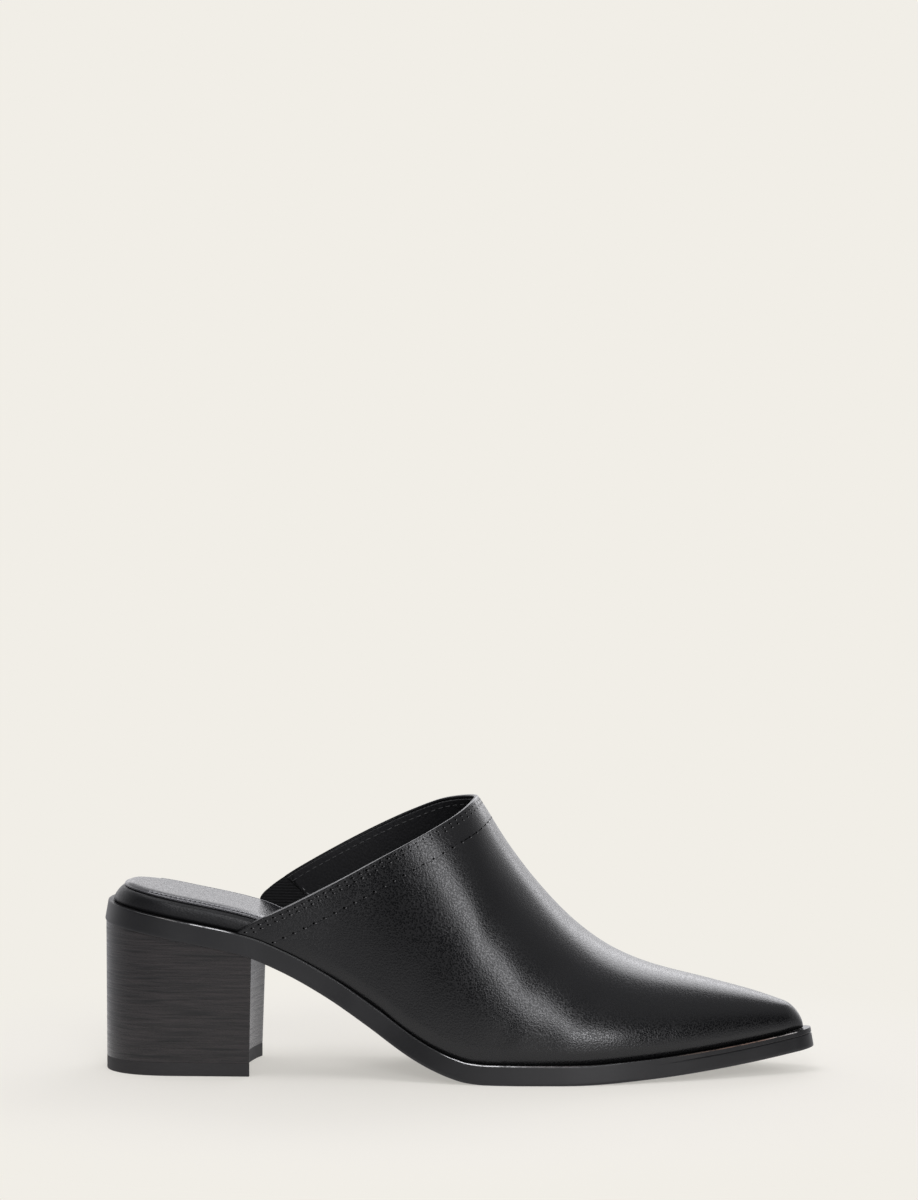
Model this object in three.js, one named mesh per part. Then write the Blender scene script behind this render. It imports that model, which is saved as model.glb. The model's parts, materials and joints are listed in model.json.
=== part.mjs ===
// A woman's heeled mule for the right foot: pointed toe, open back, stacked block heel.
//
// Millimetres. +X points to the toe, +Y to the inner (medial) side, +Z up. Every shape is worked out
// in the shoe's own sizes, with x measured forward from the back of the sole and y from the line the
// last is drawn on. The whole shoe is moved at the end, so that its origin is the middle of its
// footprint on the floor.

import * as THREE from "three";
import { mergeVertices } from "three/addons/utils/BufferGeometryUtils.js";

// Driving sizes
const LENGTH = 264;
const SOLE_THICK = 7.3;
const HEEL_LENGTH = 57.1;
const HEEL_HALF_TOP = 28.9;
const HEEL_HALF_FOOT = 25.4;
const LIFT_THICK = 5;
const WALL = 2.2;
const UPPER_TIP = 260;
const GAP = 0.3;

// How the ends are rounded, seen from above
const HEEL_ROUND = 27.5;
const HEEL_SQUARENESS = 2.3;
const TOE_ROUND = 6.5;
const NOSE_ROUND = 7;

// Heel block and its top piece
const HEEL_OVERHANG = 0.4;
const BREAST_HOLLOW = 3.5;
const BREAST_LEAN = 1.1;
const LIFT_STEP = 0.3;

// Footbed and the sock pad on it
const FOOTBED_BACK = 3;
const FOOTBED_SIDE_INSET = 3.5;
const FOOTBED_ROUND = 24.5;
const FOOTBED_TIP = 254;
const FOOTBED_TIP_ROUND = 6;
const FOOTBED_EDGE_ROLL = 1;
const FOOTBED_BACK_LEAN = 3.6;
const SOCK_BACK = 7.3;
const SOCK_ROUND = 21.5;
const SOCK_INSET = 2.5;
const SOCK_TIP = 246;
const SOCK_TIP_ROUND = 8;
const SOCK_EDGE = 0.9;
const SOCK_CROWN = 1.9;

// Elastic gore: thinner than the upper and set in from its outside
const GORE_RECESS = 0.5;
const GORE_THICK = 1.3;

// The upper's widest line: this share of its height above the sole, easing off to a limit
const BELLY_SHARE = 0.35;
const BELLY_LIMIT = 8;

// Where along the shoe the collar and the gore's seam are looked for
const COLLAR_SEARCH = { low: 44, high: 142 };
const GORE_SEARCH = { low: 0, high: 95 };

// Corners closer than this are one corner, and slopes are measured over this step
const WELD_WITHIN = 0.002;
const SLOPE_STEP = 0.01;

// The sole seen from above: the middle line and half the width, before the ends are rounded.
const soleOutline = [
  { x: 0, centre: 0, half: 29.3 },
  { x: 45, centre: 0, half: 29.3 },
  { x: 65, centre: -0.7, half: 28.3 },
  { x: 85, centre: -1.7, half: 27.3 },
  { x: 100, centre: -2.3, half: 28.6 },
  { x: 115, centre: -2.6, half: 32.4 },
  { x: 130, centre: -2.2, half: 36.6 },
  { x: 145, centre: -1.2, half: 40 },
  { x: 160, centre: 0, half: 41.7 },
  { x: 172, centre: 0.6, half: 41.6 },
  { x: 187, centre: 1.6, half: 39.4 },
  { x: 213, centre: 2.8, half: 30.8 },
  { x: 239, centre: 3.8, half: 18.8 },
  { x: 250, centre: 4.1, half: 12.8 },
  { x: 258, centre: 4.3, half: 8.2 },
  { x: 264, centre: 4.4, half: 6.6 },
];

// The underside of the sole seen from the side: heel seat, shank, flat tread, toe spring.
const soleUnderside = [
  { x: 0, z: 56.2 },
  { x: 14, z: 53.7 },
  { x: 27, z: 51.1 },
  { x: 54, z: 45.3 },
  { x: 68, z: 39.5 },
  { x: 83.5, z: 30.9 },
  { x: 101.5, z: 18.9 },
  { x: 110.6, z: 12.5 },
  { x: 117.5, z: 8.2 },
  { x: 124, z: 4.9 },
  { x: 130, z: 2.5 },
  { x: 137, z: 0.6 },
  { x: 145, z: 0 },
  { x: 177, z: 0 },
  { x: 203, z: 1.25 },
  { x: 229, z: 3.7 },
  { x: 253, z: 7 },
  { x: 264, z: 8.9 },
];

// The last's top line. Behind the collar (x below 138.6) it only shapes the side walls.
const ridgeLine = [
  { x: 50, z: 182, y: 0 },
  { x: 100, z: 140, y: 1.8 },
  { x: 125, z: 118, y: 2.7 },
  { x: 138.6, z: 102.2, y: 3.4 },
  { x: 149, z: 85.2, y: 4 },
  { x: 162.5, z: 67.5, y: 4.6 },
  { x: 176, z: 53.8, y: 5.1 },
  { x: 189.3, z: 44.6, y: 5.5 },
  { x: 203, z: 39, y: 5.5 },
  { x: 225, z: 33.6, y: 5 },
  { x: 243, z: 29, y: 4.6 },
  { x: 252, z: 26, y: 4.4 },
  { x: 260, z: 23.3, y: 4.4 },
];

// How far the upper stands in from the sole's edge, how far it rolls under there, and how full its
// section is half way up (0 is a plain ellipse).
const upperMargins = [
  { x: 50, inset: 1, tuck: 0.2, fullness: 0 },
  { x: 60, inset: 1, tuck: 0.2, fullness: 0 },
  { x: 110, inset: 2.4, tuck: 1.2, fullness: 0 },
  { x: 160, inset: 2.5, tuck: 1.3, fullness: 0.04 },
  { x: 205, inset: 2.7, tuck: 1.3, fullness: 0.12 },
  { x: 240, inset: 3.2, tuck: 1.2, fullness: 0.2 },
  { x: 260, inset: 3.4, tuck: 1, fullness: 0.22 },
];

// The collar seen from the side, from the sole up to its front on the top line.
const collarOuterSide = [
  { x: 48, z: 49.5 },
  { x: 51.3, z: 53.5 },
  { x: 56.8, z: 57.2 },
  { x: 72.1, z: 64.6 },
  { x: 89.2, z: 73.4 },
  { x: 103.9, z: 81.5 },
  { x: 125.5, z: 93.4 },
  { x: 134.5, z: 98.8 },
  { x: 138.6, z: 102 },
];
const collarInnerSide = [
  { x: 52.6, z: 47 },
  { x: 53.8, z: 53.2 },
  { x: 55.4, z: 60.6 },
  { x: 58.5, z: 64 },
  { x: 64.9, z: 68.8 },
  { x: 76.2, z: 75.8 },
  { x: 96.6, z: 87.2 },
  { x: 113.2, z: 95.1 },
  { x: 126.3, z: 99.9 },
  { x: 138.6, z: 102 },
];

// The seam on the inner side where the leather ends and the elastic gore starts, from the sole up.
const goreSeam = [
  { z: 40, x: 82 },
  { z: 52, x: 78.6 },
  { z: 61, x: 72.4 },
  { z: 68.4, x: 64.4 },
];

// Footbed thickness along the foot
const footbedThick = [
  { x: 0, z: 6 },
  { x: 60, z: 5.8 },
  { x: 120, z: 4.5 },
  { x: 264, z: 4.2 },
];

const lerp = THREE.MathUtils.lerp;
const quarterTurn = Math.PI / 2;

// A smooth curve through one column of a table, against another column. Its slopes are held back so
// that it never overshoots a row, and it runs on straight past both ends.
function curveThrough(rows, column, against = "x") {
  const spans = [];
  const steps = [];
  for (let i = 0; i < rows.length - 1; i++) {
    spans.push(rows[i + 1][against] - rows[i][against]);
    steps.push((rows[i + 1][column] - rows[i][column]) / spans[i]);
  }
  const slopes = rows.map((row, i) => {
    if (i === 0) return steps[0];
    if (i === rows.length - 1) return steps[i - 1];
    const product = steps[i - 1] * steps[i];
    return product > 0 ? (2 * product) / (steps[i - 1] + steps[i]) : 0;
  });
  return (at) => {
    const last = rows.length - 1;
    if (at <= rows[0][against]) return rows[0][column] + slopes[0] * (at - rows[0][against]);
    if (at >= rows[last][against]) {
      return rows[last][column] + slopes[last] * (at - rows[last][against]);
    }
    let i = 0;
    while (at > rows[i + 1][against]) i++;
    const t = (at - rows[i][against]) / spans[i];
    const rise = rows[i + 1][column] - rows[i][column];
    const bendStart = slopes[i] * spans[i] - rise;
    const bendEnd = rise - slopes[i + 1] * spans[i];
    return rows[i][column] + rise * t + t * (1 - t) * ((1 - t) * bendStart + t * bendEnd);
  };
}

const soleCentre = curveThrough(soleOutline, "centre");
const soleHalf = curveThrough(soleOutline, "half");
const soleBottom = curveThrough(soleUnderside, "z");
const ridgeHeight = curveThrough(ridgeLine, "z");
const ridgeSide = curveThrough(ridgeLine, "y");
const upperInset = curveThrough(upperMargins, "inset");
const upperTuck = curveThrough(upperMargins, "tuck");
const upperFullness = curveThrough(upperMargins, "fullness");
const collarOuterHeight = curveThrough(collarOuterSide, "z");
const collarInnerHeight = curveThrough(collarInnerSide, "z");
const goreSeamPlace = curveThrough(goreSeam, "x", "z");
const footbedHeight = curveThrough(footbedThick, "z");

// The x between low and high where f changes sign.
function solve(f, low, high) {
  const startsPositive = f(low) > 0;
  for (let i = 0; i < 50; i++) {
    const middle = (low + high) / 2;
    if (f(middle) > 0 === startsPositive) low = middle;
    else high = middle;
  }
  return (low + high) / 2;
}

function soleSlope(x) {
  return soleBottom(x + 0.5) - soleBottom(x - 0.5);
}

// Height of the sole's upper face, which runs parallel to its underside.
function soleTop(x) {
  return soleBottom(x) + SOLE_THICK * Math.hypot(1, soleSlope(x));
}

// Quarter-round outlines: 0 at the very end, 1 where the rounding is over.
function roundedBack(distance, radius = HEEL_ROUND) {
  if (distance >= radius) return 1;
  const reach = Math.pow(1 - Math.max(distance, 0) / radius, HEEL_SQUARENESS);
  return Math.pow(1 - reach, 1 / HEEL_SQUARENESS);
}

function roundedFront(distance, radius) {
  if (distance >= radius) return 1;
  return Math.sqrt(Math.max(0, 1 - (1 - distance / radius) ** 2));
}

// Positions from start to end, even along the middle and closer together around a rounded end.
function spaced({ start, end, backRound = 0, frontRound = 0, middle, around }) {
  const places = [];
  if (backRound > 0) {
    for (let i = 0; i < around; i++) {
      places.push(start + backRound * (1 - Math.cos((i / around) * quarterTurn)));
    }
  }
  for (let i = 0; i <= middle; i++) {
    places.push(lerp(start + backRound, end - frontRound, i / middle));
  }
  if (frontRound > 0) {
    for (let i = 1; i <= around; i++) {
      places.push(end - frontRound * (1 - Math.sin((i / around) * quarterTurn)));
    }
  }
  return places;
}

function evenly(start, end, steps) {
  return spaced({ start, end, middle: steps });
}

// A closed body from a block of positions: place(u, w, t) puts each corner of the block, and the six
// sides of the block become the surface. Ends where every corner falls together are welded shut.
function bodyFrom(us, ws, ts, place) {
  const corners = [];
  const addSide = (columns, rows, pick) => {
    for (let i = 0; i < columns.length - 1; i++) {
      for (let j = 0; j < rows.length - 1; j++) {
        const a = pick(columns[i], rows[j]);
        const b = pick(columns[i + 1], rows[j]);
        const c = pick(columns[i + 1], rows[j + 1]);
        const d = pick(columns[i], rows[j + 1]);
        corners.push(...a, ...b, ...c, ...a, ...c, ...d);
      }
    }
  };
  const first = (list) => list[0];
  const last = (list) => list[list.length - 1];
  addSide(us, ws, (u, w) => place(u, w, last(ts)));
  addSide(ws, us, (w, u) => place(u, w, first(ts)));
  addSide(ws, ts, (w, t) => place(last(us), w, t));
  addSide(ts, ws, (t, w) => place(first(us), w, t));
  addSide(ts, us, (t, u) => place(u, last(ws), t));
  addSide(us, ts, (u, t) => place(u, first(ws), t));
  return weld(corners);
}

// Merge corners that fall together, drop triangles that have closed up, and face the rest outward.
function weld(corners) {
  let geometry = new THREE.BufferGeometry();
  geometry.setAttribute("position", new THREE.Float32BufferAttribute(corners, 3));
  geometry = mergeVertices(geometry, WELD_WITHIN);
  const index = geometry.index.array;
  const kept = [];
  for (let i = 0; i < index.length; i += 3) {
    const [a, b, c] = [index[i], index[i + 1], index[i + 2]];
    if (a !== b && b !== c && c !== a) kept.push(a, b, c);
  }
  const position = geometry.attributes.position;
  const corner = (i) => new THREE.Vector3().fromBufferAttribute(position, i);
  let volume = 0;
  for (let i = 0; i < kept.length; i += 3) {
    const across = corner(kept[i + 1]).cross(corner(kept[i + 2]));
    volume += corner(kept[i]).dot(across) / 6;
  }
  if (volume < 0) kept.reverse();
  geometry.setIndex(kept);
  geometry.computeVertexNormals();
  return geometry;
}

// Outsole: one even slab from the heel seat to the toe, its edge square to its slope.
function outsoleGeometry() {
  const along = spaced({
    start: 0, end: LENGTH, backRound: HEEL_ROUND, frontRound: TOE_ROUND, middle: 32, around: 6,
  });
  return bodyFrom(along, evenly(-1, 1, 8), [0, 1], (x, w, t) => {
    const slope = soleSlope(x);
    const half = soleHalf(x) * roundedBack(x) * roundedFront(LENGTH - x, TOE_ROUND);
    const y = soleCentre(x) + w * half;
    if (t === 0) return [x, y, soleBottom(x)];
    const topX = x - (SOLE_THICK * slope) / Math.hypot(1, slope);
    return [topX, y, soleTop(topX)];
  });
}

// A heel outline: u runs from the back to the breast, w across. The breast is hollow in the middle.
function heelPlan(u, w, half, front) {
  const breast = front - BREAST_HOLLOW * (1 - w * w);
  const distance = u * (front - HEEL_OVERHANG);
  const x = HEEL_OVERHANG + u * (breast - HEEL_OVERHANG);
  return [x, w * half * roundedBack(distance)];
}

const heelAlong = spaced({
  start: 0, end: 1, backRound: HEEL_ROUND / (HEEL_LENGTH - HEEL_OVERHANG), middle: 5, around: 6,
});

// Heel block: tapers down from the sole to the top piece, with its top cut to the sole's slope.
function heelBlockGeometry() {
  const foot = LIFT_THICK + GAP;
  return bodyFrom(heelAlong, evenly(-1, 1, 8), evenly(0, 1, 3), (u, w, t) => {
    const half = lerp(HEEL_HALF_FOOT, HEEL_HALF_TOP, t);
    const front = HEEL_LENGTH - BREAST_LEAN * (1 - t);
    const [x, y] = heelPlan(u, w, half, front);
    return [x, y, lerp(foot, soleBottom(x) - GAP, t)];
  });
}

// Heel top piece: the flat lift that stands on the floor.
function heelLiftGeometry() {
  const half = HEEL_HALF_FOOT + LIFT_STEP;
  const front = HEEL_LENGTH - BREAST_LEAN + LIFT_STEP;
  return bodyFrom(heelAlong, evenly(-1, 1, 8), [0, LIFT_THICK], (u, w, t) => {
    const [x, y] = heelPlan(u, w, half, front);
    return [x, y, t];
  });
}

// The footbed's outline. Behind the upper it keeps its own inset, and further forward it fills the
// space between the upper's walls.
function footbedHalf(x) {
  return soleHalf(x) - Math.max(FOOTBED_SIDE_INSET, upperInset(x) + WALL + GAP);
}

function footbedGeometry() {
  const along = spaced({
    start: FOOTBED_BACK, end: FOOTBED_TIP, backRound: FOOTBED_ROUND,
    frontRound: FOOTBED_TIP_ROUND, middle: 24, around: 5,
  });
  const levels = [
    { up: 0, roll: 0, lean: 0 },
    { up: 0.6, roll: 0.1, lean: 0.45 },
    { up: 1, roll: 1, lean: 1 },
  ];
  return bodyFrom(along, evenly(-1, 1, 6), levels, (x, w, { up, roll, lean }) => {
    const behind = x - FOOTBED_BACK;
    const ahead = FOOTBED_TIP - x;
    const rounding = roundedBack(behind, FOOTBED_ROUND) * roundedFront(ahead, FOOTBED_TIP_ROUND);
    const half = (footbedHalf(x) - FOOTBED_EDGE_ROLL * roll) * rounding;
    const leanNow = FOOTBED_BACK_LEAN * lean * Math.max(0, 1 - behind / FOOTBED_ROUND) ** 2;
    const placedX = x + leanNow;
    const z = soleTop(placedX) + GAP + footbedHeight(x) * up;
    return [placedX, soleCentre(x) + w * Math.max(half, 0), z];
  });
}

// Sock pad: a thin cushion on the footbed, thickest along its middle.
function sockPadGeometry() {
  const along = spaced({
    start: SOCK_BACK, end: SOCK_TIP, backRound: SOCK_ROUND, frontRound: SOCK_TIP_ROUND,
    middle: 20, around: 4,
  });
  return bodyFrom(along, evenly(-1, 1, 6), [0, 1], (x, w, t) => {
    const behind = x - SOCK_BACK;
    const ahead = SOCK_TIP - x;
    const rounding = roundedBack(behind, SOCK_ROUND) * roundedFront(ahead, SOCK_TIP_ROUND);
    const half = (footbedHalf(x) - SOCK_INSET) * rounding;
    const crown = lerp(SOCK_EDGE, SOCK_CROWN, (1 - w * w) * rounding);
    const under = soleTop(x) + 2 * GAP + footbedHeight(x);
    return [x, soleCentre(x) + w * half, under + crown * t];
  });
}

// The last: the outside of the upper at x. v runs around the section, from the outer side's feather
// edge (-2) to its widest line (-1), over the top (0), and down the inner side (1, then 2).
function lastPoint(x, v) {
  const taper = roundedFront(UPPER_TIP - x, NOSE_ROUND);
  const side = Math.sign(v);
  const foot = soleTop(x) + GAP;
  const height = ridgeHeight(x) - foot;
  const belly = (BELLY_SHARE * height) / (1 + (BELLY_SHARE * height) / BELLY_LIMIT);
  const tuck = upperTuck(x);
  const widest = soleHalf(x) - upperInset(x) + tuck;
  const ridge = ridgeSide(x) - soleCentre(x);
  let y;
  let z;
  if (Math.abs(v) > 1) {
    const q = 2 - Math.abs(v);
    y = side * (widest - tuck * (1 - q) ** 2);
    z = belly * q;
  } else {
    const angle = quarterTurn * (1 - Math.abs(v));
    const swell = 1 + upperFullness(x) * Math.sin(angle) ** 2;
    y = ridge + (side * widest - ridge) * Math.cos(angle) * swell;
    z = belly + (height - belly) * Math.sin(angle);
  }
  return new THREE.Vector3(x, soleCentre(x) + taper * y, foot + taper * z);
}

// The same point moved into the wall, square to the surface. The feather edge stays on the sole.
function wallPoint(x, v, depth) {
  const point = lastPoint(x, v);
  if (depth === 0) return point.toArray();
  let out = new THREE.Vector3(1, 0, 0);
  if (x < UPPER_TIP - 2 * SLOPE_STEP) {
    const ahead = lastPoint(x + SLOPE_STEP, v).sub(lastPoint(x - SLOPE_STEP, v));
    const next = lastPoint(x, Math.min(v + SLOPE_STEP, 2));
    const around = next.sub(lastPoint(x, Math.max(v - SLOPE_STEP, -2)));
    out = ahead.cross(around).normalize();
    if (out.z < 0 && Math.abs(v) < 1) out.negate();
    if (out.y * Math.sign(v) < 0 && Math.abs(v) >= 1) out.negate();
  }
  point.addScaledVector(out, -depth);
  if (Math.abs(v) === 2) point.z = soleTop(point.x) + GAP;
  return point.toArray();
}

function collarX(v) {
  const height = v < 0 ? collarOuterHeight : collarInnerHeight;
  return solve((x) => lastPoint(x, v).z - height(x), COLLAR_SEARCH.low, COLLAR_SEARCH.high);
}

function goreSeamX(v) {
  const pastSeam = (x) => x - goreSeamPlace(lastPoint(x, v).z);
  return solve(pastSeam, GORE_SEARCH.low, GORE_SEARCH.high);
}

// Where the gore's seam runs out into the collar, and the rows from there down to the widest line,
// which crowd together because they run almost along the seam.
const goreTop = solve((v) => goreSeamX(v) - collarX(v), 0.9, 1);
const goreRows = [0.08, 0.25, 0.55].map((share) => lerp(goreTop, 1, share));
const belowWidest = [1.33, 1.67, 2];

const aroundUpper = [
  -2, -1.67, -1.33, ...evenly(-1, 0, 12), ...evenly(0, goreTop, 11).slice(1),
  ...goreRows, 1, ...belowWidest,
];

// Upper: one hollow shell from the collar to the toe, open at the collar and underneath.
function upperGeometry() {
  const starts = new Map();
  for (const v of aroundUpper) {
    starts.set(v, v > goreTop ? goreSeamX(v) + GAP : collarX(v));
  }
  const noseStart = UPPER_TIP - NOSE_ROUND;
  const along = [...evenly(0, 1, 29), ...evenly(1, 2, 6).slice(1)];
  return bodyFrom(along, aroundUpper, [0, WALL], (u, v, depth) => {
    const x = u <= 1
      ? lerp(starts.get(v), noseStart, u)
      : noseStart + NOSE_ROUND * Math.sin((u - 1) * quarterTurn);
    return wallPoint(x, v, depth);
  });
}

// Elastic gore: the stretch piece at the back of the inner side, set in from the leather's face.
function goreGeometry() {
  const around = [goreTop, ...goreRows, 1, ...belowWidest];
  const depths = [GORE_RECESS, GORE_RECESS + GORE_THICK];
  return bodyFrom(evenly(0, 1, 6), around, depths, (u, v, depth) => {
    return wallPoint(lerp(collarX(v), goreSeamX(v), u), v, depth);
  });
}

function leather(color, roughness) {
  return new THREE.MeshStandardMaterial({ color, roughness, metalness: 0 });
}

const pieces = {
  outsole: new THREE.Mesh(outsoleGeometry(), leather(0x242325, 0.55)),
  heel_block: new THREE.Mesh(heelBlockGeometry(), leather(0x2a2625, 0.5)),
  heel_top_piece: new THREE.Mesh(heelLiftGeometry(), leather(0x1f1e20, 0.7)),
  footbed: new THREE.Mesh(footbedGeometry(), leather(0x1c1c1e, 0.45)),
  sock_pad: new THREE.Mesh(sockPadGeometry(), leather(0x4a4a4d, 0.6)),
  upper: new THREE.Mesh(upperGeometry(), leather(0x1d1d1f, 0.4)),
  elastic_gore: new THREE.Mesh(goreGeometry(), leather(0x18181a, 0.85)),
};

const shoe = new THREE.Group();
for (const [name, mesh] of Object.entries(pieces)) {
  mesh.name = name;
  shoe.add(mesh);
}

// The origin is the middle of the footprint, on the floor.
const footprint = new THREE.Box3().setFromObject(pieces.outsole);
const middle = footprint.getCenter(new THREE.Vector3());
shoe.position.set(-middle.x, -middle.y, 0);

const part = new THREE.Group();
part.add(shoe);

export default part;
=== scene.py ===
import json
import math

import bpy
import numpy as np
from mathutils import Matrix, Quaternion, Vector


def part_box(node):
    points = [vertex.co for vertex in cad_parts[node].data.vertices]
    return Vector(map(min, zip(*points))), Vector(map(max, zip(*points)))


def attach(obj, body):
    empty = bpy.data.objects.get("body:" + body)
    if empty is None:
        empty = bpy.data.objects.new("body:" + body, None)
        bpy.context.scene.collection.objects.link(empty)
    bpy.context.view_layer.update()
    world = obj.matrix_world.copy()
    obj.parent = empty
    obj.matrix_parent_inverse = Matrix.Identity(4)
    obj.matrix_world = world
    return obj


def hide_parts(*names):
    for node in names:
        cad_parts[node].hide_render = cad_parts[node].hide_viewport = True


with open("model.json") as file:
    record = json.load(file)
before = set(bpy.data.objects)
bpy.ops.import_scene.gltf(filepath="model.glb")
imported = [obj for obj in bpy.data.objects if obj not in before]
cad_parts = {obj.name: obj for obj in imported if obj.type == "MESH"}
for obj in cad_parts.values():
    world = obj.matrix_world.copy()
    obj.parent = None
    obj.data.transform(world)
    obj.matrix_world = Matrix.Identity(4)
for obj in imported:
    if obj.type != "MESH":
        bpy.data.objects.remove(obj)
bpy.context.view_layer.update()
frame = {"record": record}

soleLow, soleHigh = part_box("outsole")
slots = [material["slot"] for material in frame["record"]["materials"]]
print("frame loaded, finishes:", ", ".join(slots))

# The shoe's own sizes are in millimetres: x forward from the back of the sole, y to the inner side
# from the line the last is drawn on, z up from the floor.
shoe = {
    "length": 264.0,
    "gap": 0.3,                      # left between two pieces that meet
    "wall": 2.2,
    "upperTip": 260.0,
    "noseRound": 7.0,
    "bellyShare": 0.35,              # how far up each section its widest line lies,
    "bellyLimit": 8.0,               # and the height that this line never reaches
    "collarSearch": (44.0, 142.0),   # the collar and the gore's seam each lie between these x
    "goreSearch": (0.0, 95.0),
}

quarterTurn = math.pi / 2


# Rows of numbers as one array for each named column.
def table(columns, rows):
    return {name: np.array(column, float) for name, column in zip(columns.split(), zip(*rows))}


soleOutline = table("x centre half", [
    (0, 0, 29.3),
    (45, 0, 29.3),
    (65, -0.7, 28.3),
    (85, -1.7, 27.3),
    (100, -2.3, 28.6),
    (115, -2.6, 32.4),
    (130, -2.2, 36.6),
    (145, -1.2, 40),
    (160, 0, 41.7),
    (172, 0.6, 41.6),
    (187, 1.6, 39.4),
    (213, 2.8, 30.8),
    (239, 3.8, 18.8),
    (250, 4.1, 12.8),
    (258, 4.3, 8.2),
    (264, 4.4, 6.6),
])

soleUnderside = table("x z", [
    (0, 56.2),
    (14, 53.7),
    (27, 51.1),
    (54, 45.3),
    (68, 39.5),
    (83.5, 30.9),
    (101.5, 18.9),
    (110.6, 12.5),
    (117.5, 8.2),
    (124, 4.9),
    (130, 2.5),
    (137, 0.6),
    (145, 0),
    (177, 0),
    (203, 1.25),
    (229, 3.7),
    (253, 7),
    (264, 8.9),
])

ridgeLine = table("x z y", [
    (50, 182, 0),
    (100, 140, 1.8),
    (125, 118, 2.7),
    (138.6, 102.2, 3.4),
    (149, 85.2, 4),
    (162.5, 67.5, 4.6),
    (176, 53.8, 5.1),
    (189.3, 44.6, 5.5),
    (203, 39, 5.5),
    (225, 33.6, 5),
    (243, 29, 4.6),
    (252, 26, 4.4),
    (260, 23.3, 4.4),
])

upperMargins = table("x inset tuck fullness", [
    (50, 1, 0.2, 0),
    (60, 1, 0.2, 0),
    (110, 2.4, 1.2, 0),
    (160, 2.5, 1.3, 0.04),
    (205, 2.7, 1.3, 0.12),
    (240, 3.2, 1.2, 0.2),
    (260, 3.4, 1, 0.22),
])

collarOuterSide = table("x z", [
    (48, 49.5),
    (51.3, 53.5),
    (56.8, 57.2),
    (72.1, 64.6),
    (89.2, 73.4),
    (103.9, 81.5),
    (125.5, 93.4),
    (134.5, 98.8),
    (138.6, 102),
])

collarInnerSide = table("x z", [
    (52.6, 47),
    (53.8, 53.2),
    (55.4, 60.6),
    (58.5, 64),
    (64.9, 68.8),
    (76.2, 75.8),
    (96.6, 87.2),
    (113.2, 95.1),
    (126.3, 99.9),
    (138.6, 102),
])

goreSeam = table("z x", [(40, 82), (52, 78.6), (61, 72.4), (68.4, 64.4)])

footbedThick = table("x z", [(0, 6), (60, 5.8), (120, 4.5), (264, 4.2)])


# A curve through one column against another that never overshoots a row and runs on straight past
# both ends. soften averages it over that many millimetres each way, so that gloss flows over it.
def curveThrough(rows, column, against="x", soften=0):
    places, heights = rows[against], rows[column]
    spans = np.diff(places)
    steps = np.diff(heights) / spans
    product = steps[:-1] * steps[1:]
    total = steps[:-1] + steps[1:]
    inner = np.where(product > 0, 2 * product / np.where(product > 0, total, 1), 0)
    slopes = np.concatenate([steps[:1], inner, steps[-1:]])

    def exact(at):
        at = np.asarray(at, float)
        i = np.clip(np.searchsorted(places, at, side="right") - 1, 0, len(spans) - 1)
        t = (at - places[i]) / spans[i]
        rise = heights[i + 1] - heights[i]
        bendStart = slopes[i] * spans[i] - rise
        bendEnd = rise - slopes[i + 1] * spans[i]
        within = heights[i] + rise * t + t * (1 - t) * ((1 - t) * bendStart + t * bendEnd)
        before = heights[0] + slopes[0] * (at - places[0])
        after = heights[-1] + slopes[-1] * (at - places[-1])
        return np.where(at < places[0], before, np.where(at > places[-1], after, within))

    if soften == 0:
        return exact
    offsets = np.linspace(-1, 1, 9)
    weights = 1.02 - offsets ** 2
    weights /= weights.sum()

    def softened(at):
        return sum(weight * exact(at + soften * offset) for weight, offset in zip(weights, offsets))

    return softened


soleCentre = curveThrough(soleOutline, "centre", soften=6)
soleHalf = curveThrough(soleOutline, "half", soften=5)
soleBottom = curveThrough(soleUnderside, "z", soften=3)
ridgeHeight = curveThrough(ridgeLine, "z", soften=6)
ridgeSide = curveThrough(ridgeLine, "y", soften=8)
upperInset = curveThrough(upperMargins, "inset", soften=8)
upperTuck = curveThrough(upperMargins, "tuck", soften=8)
upperFullness = curveThrough(upperMargins, "fullness", soften=8)
collarOuterHeight = curveThrough(collarOuterSide, "z")
collarInnerHeight = curveThrough(collarInnerSide, "z")
goreSeamPlace = curveThrough(goreSeam, "x", "z")
footbedHeight = curveThrough(footbedThick, "z")

outsole = {
    "thick": 7.3,
    "heelRound": 27.5,
    "heelSquareness": 2.3,
    "toeRound": 6.5,
    # edge profile from the tread up: how far in, and how far up the edge
    "edge": [(0.45, 0), (0.15, 0.02), (0, 0.06), (0, 0.16), (0, 0.4), (0, 0.66), (0, 0.9),
             (0, 0.96), (0.02, 0.967), (0.22, 0.996), (0.4, 1)],
    "sharpUnderHeel": 0.3,       # how much of the edge's lower bevel is left there
    "underHeel": (48, 70),
    "sharpAtToe": 0.05,          # and of its upper bevel at the toe
    "atToe": (168, 200),
    "rimDeep": 0.27,             # the rim's painted highlight and wear, down the edge and in over the top
    "rimWide": 0.7,
    "wornInside": 0.3,           # how strongly the inner side's rim takes the painted highlight and wear, beside the outer side's
    "lineUp": 0.72,              # the line round the toe's edge
    "lineWide": 0.022,
    "lineDeep": 0.3,
    "lineFades": (205, 225),
    "columns": 130,
    "columnsRound": 18,
    "rowsAcross": 15,
}


def lerp(a, b, t):
    return a + (b - a) * t


def smoothStep(low, high, value):
    t = np.clip((value - low) / (high - low), 0, 1)
    return t * t * (3 - 2 * t)


def bump(distance, width):
    return np.exp(-(distance / width) ** 2)


def soleSlope(x):
    return soleBottom(x + 0.5) - soleBottom(x - 0.5)


def soleTop(x):
    return soleBottom(x) + outsole["thick"] * np.hypot(1, soleSlope(x))


# Quarter rounds: 0 at the very end of an outline, 1 where its rounding is over.
def roundedBack(distance, radius=outsole["heelRound"]):
    squareness = outsole["heelSquareness"]
    reach = np.clip(1 - distance / radius, 0, 1) ** squareness
    return (1 - reach) ** (1 / squareness)


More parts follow.
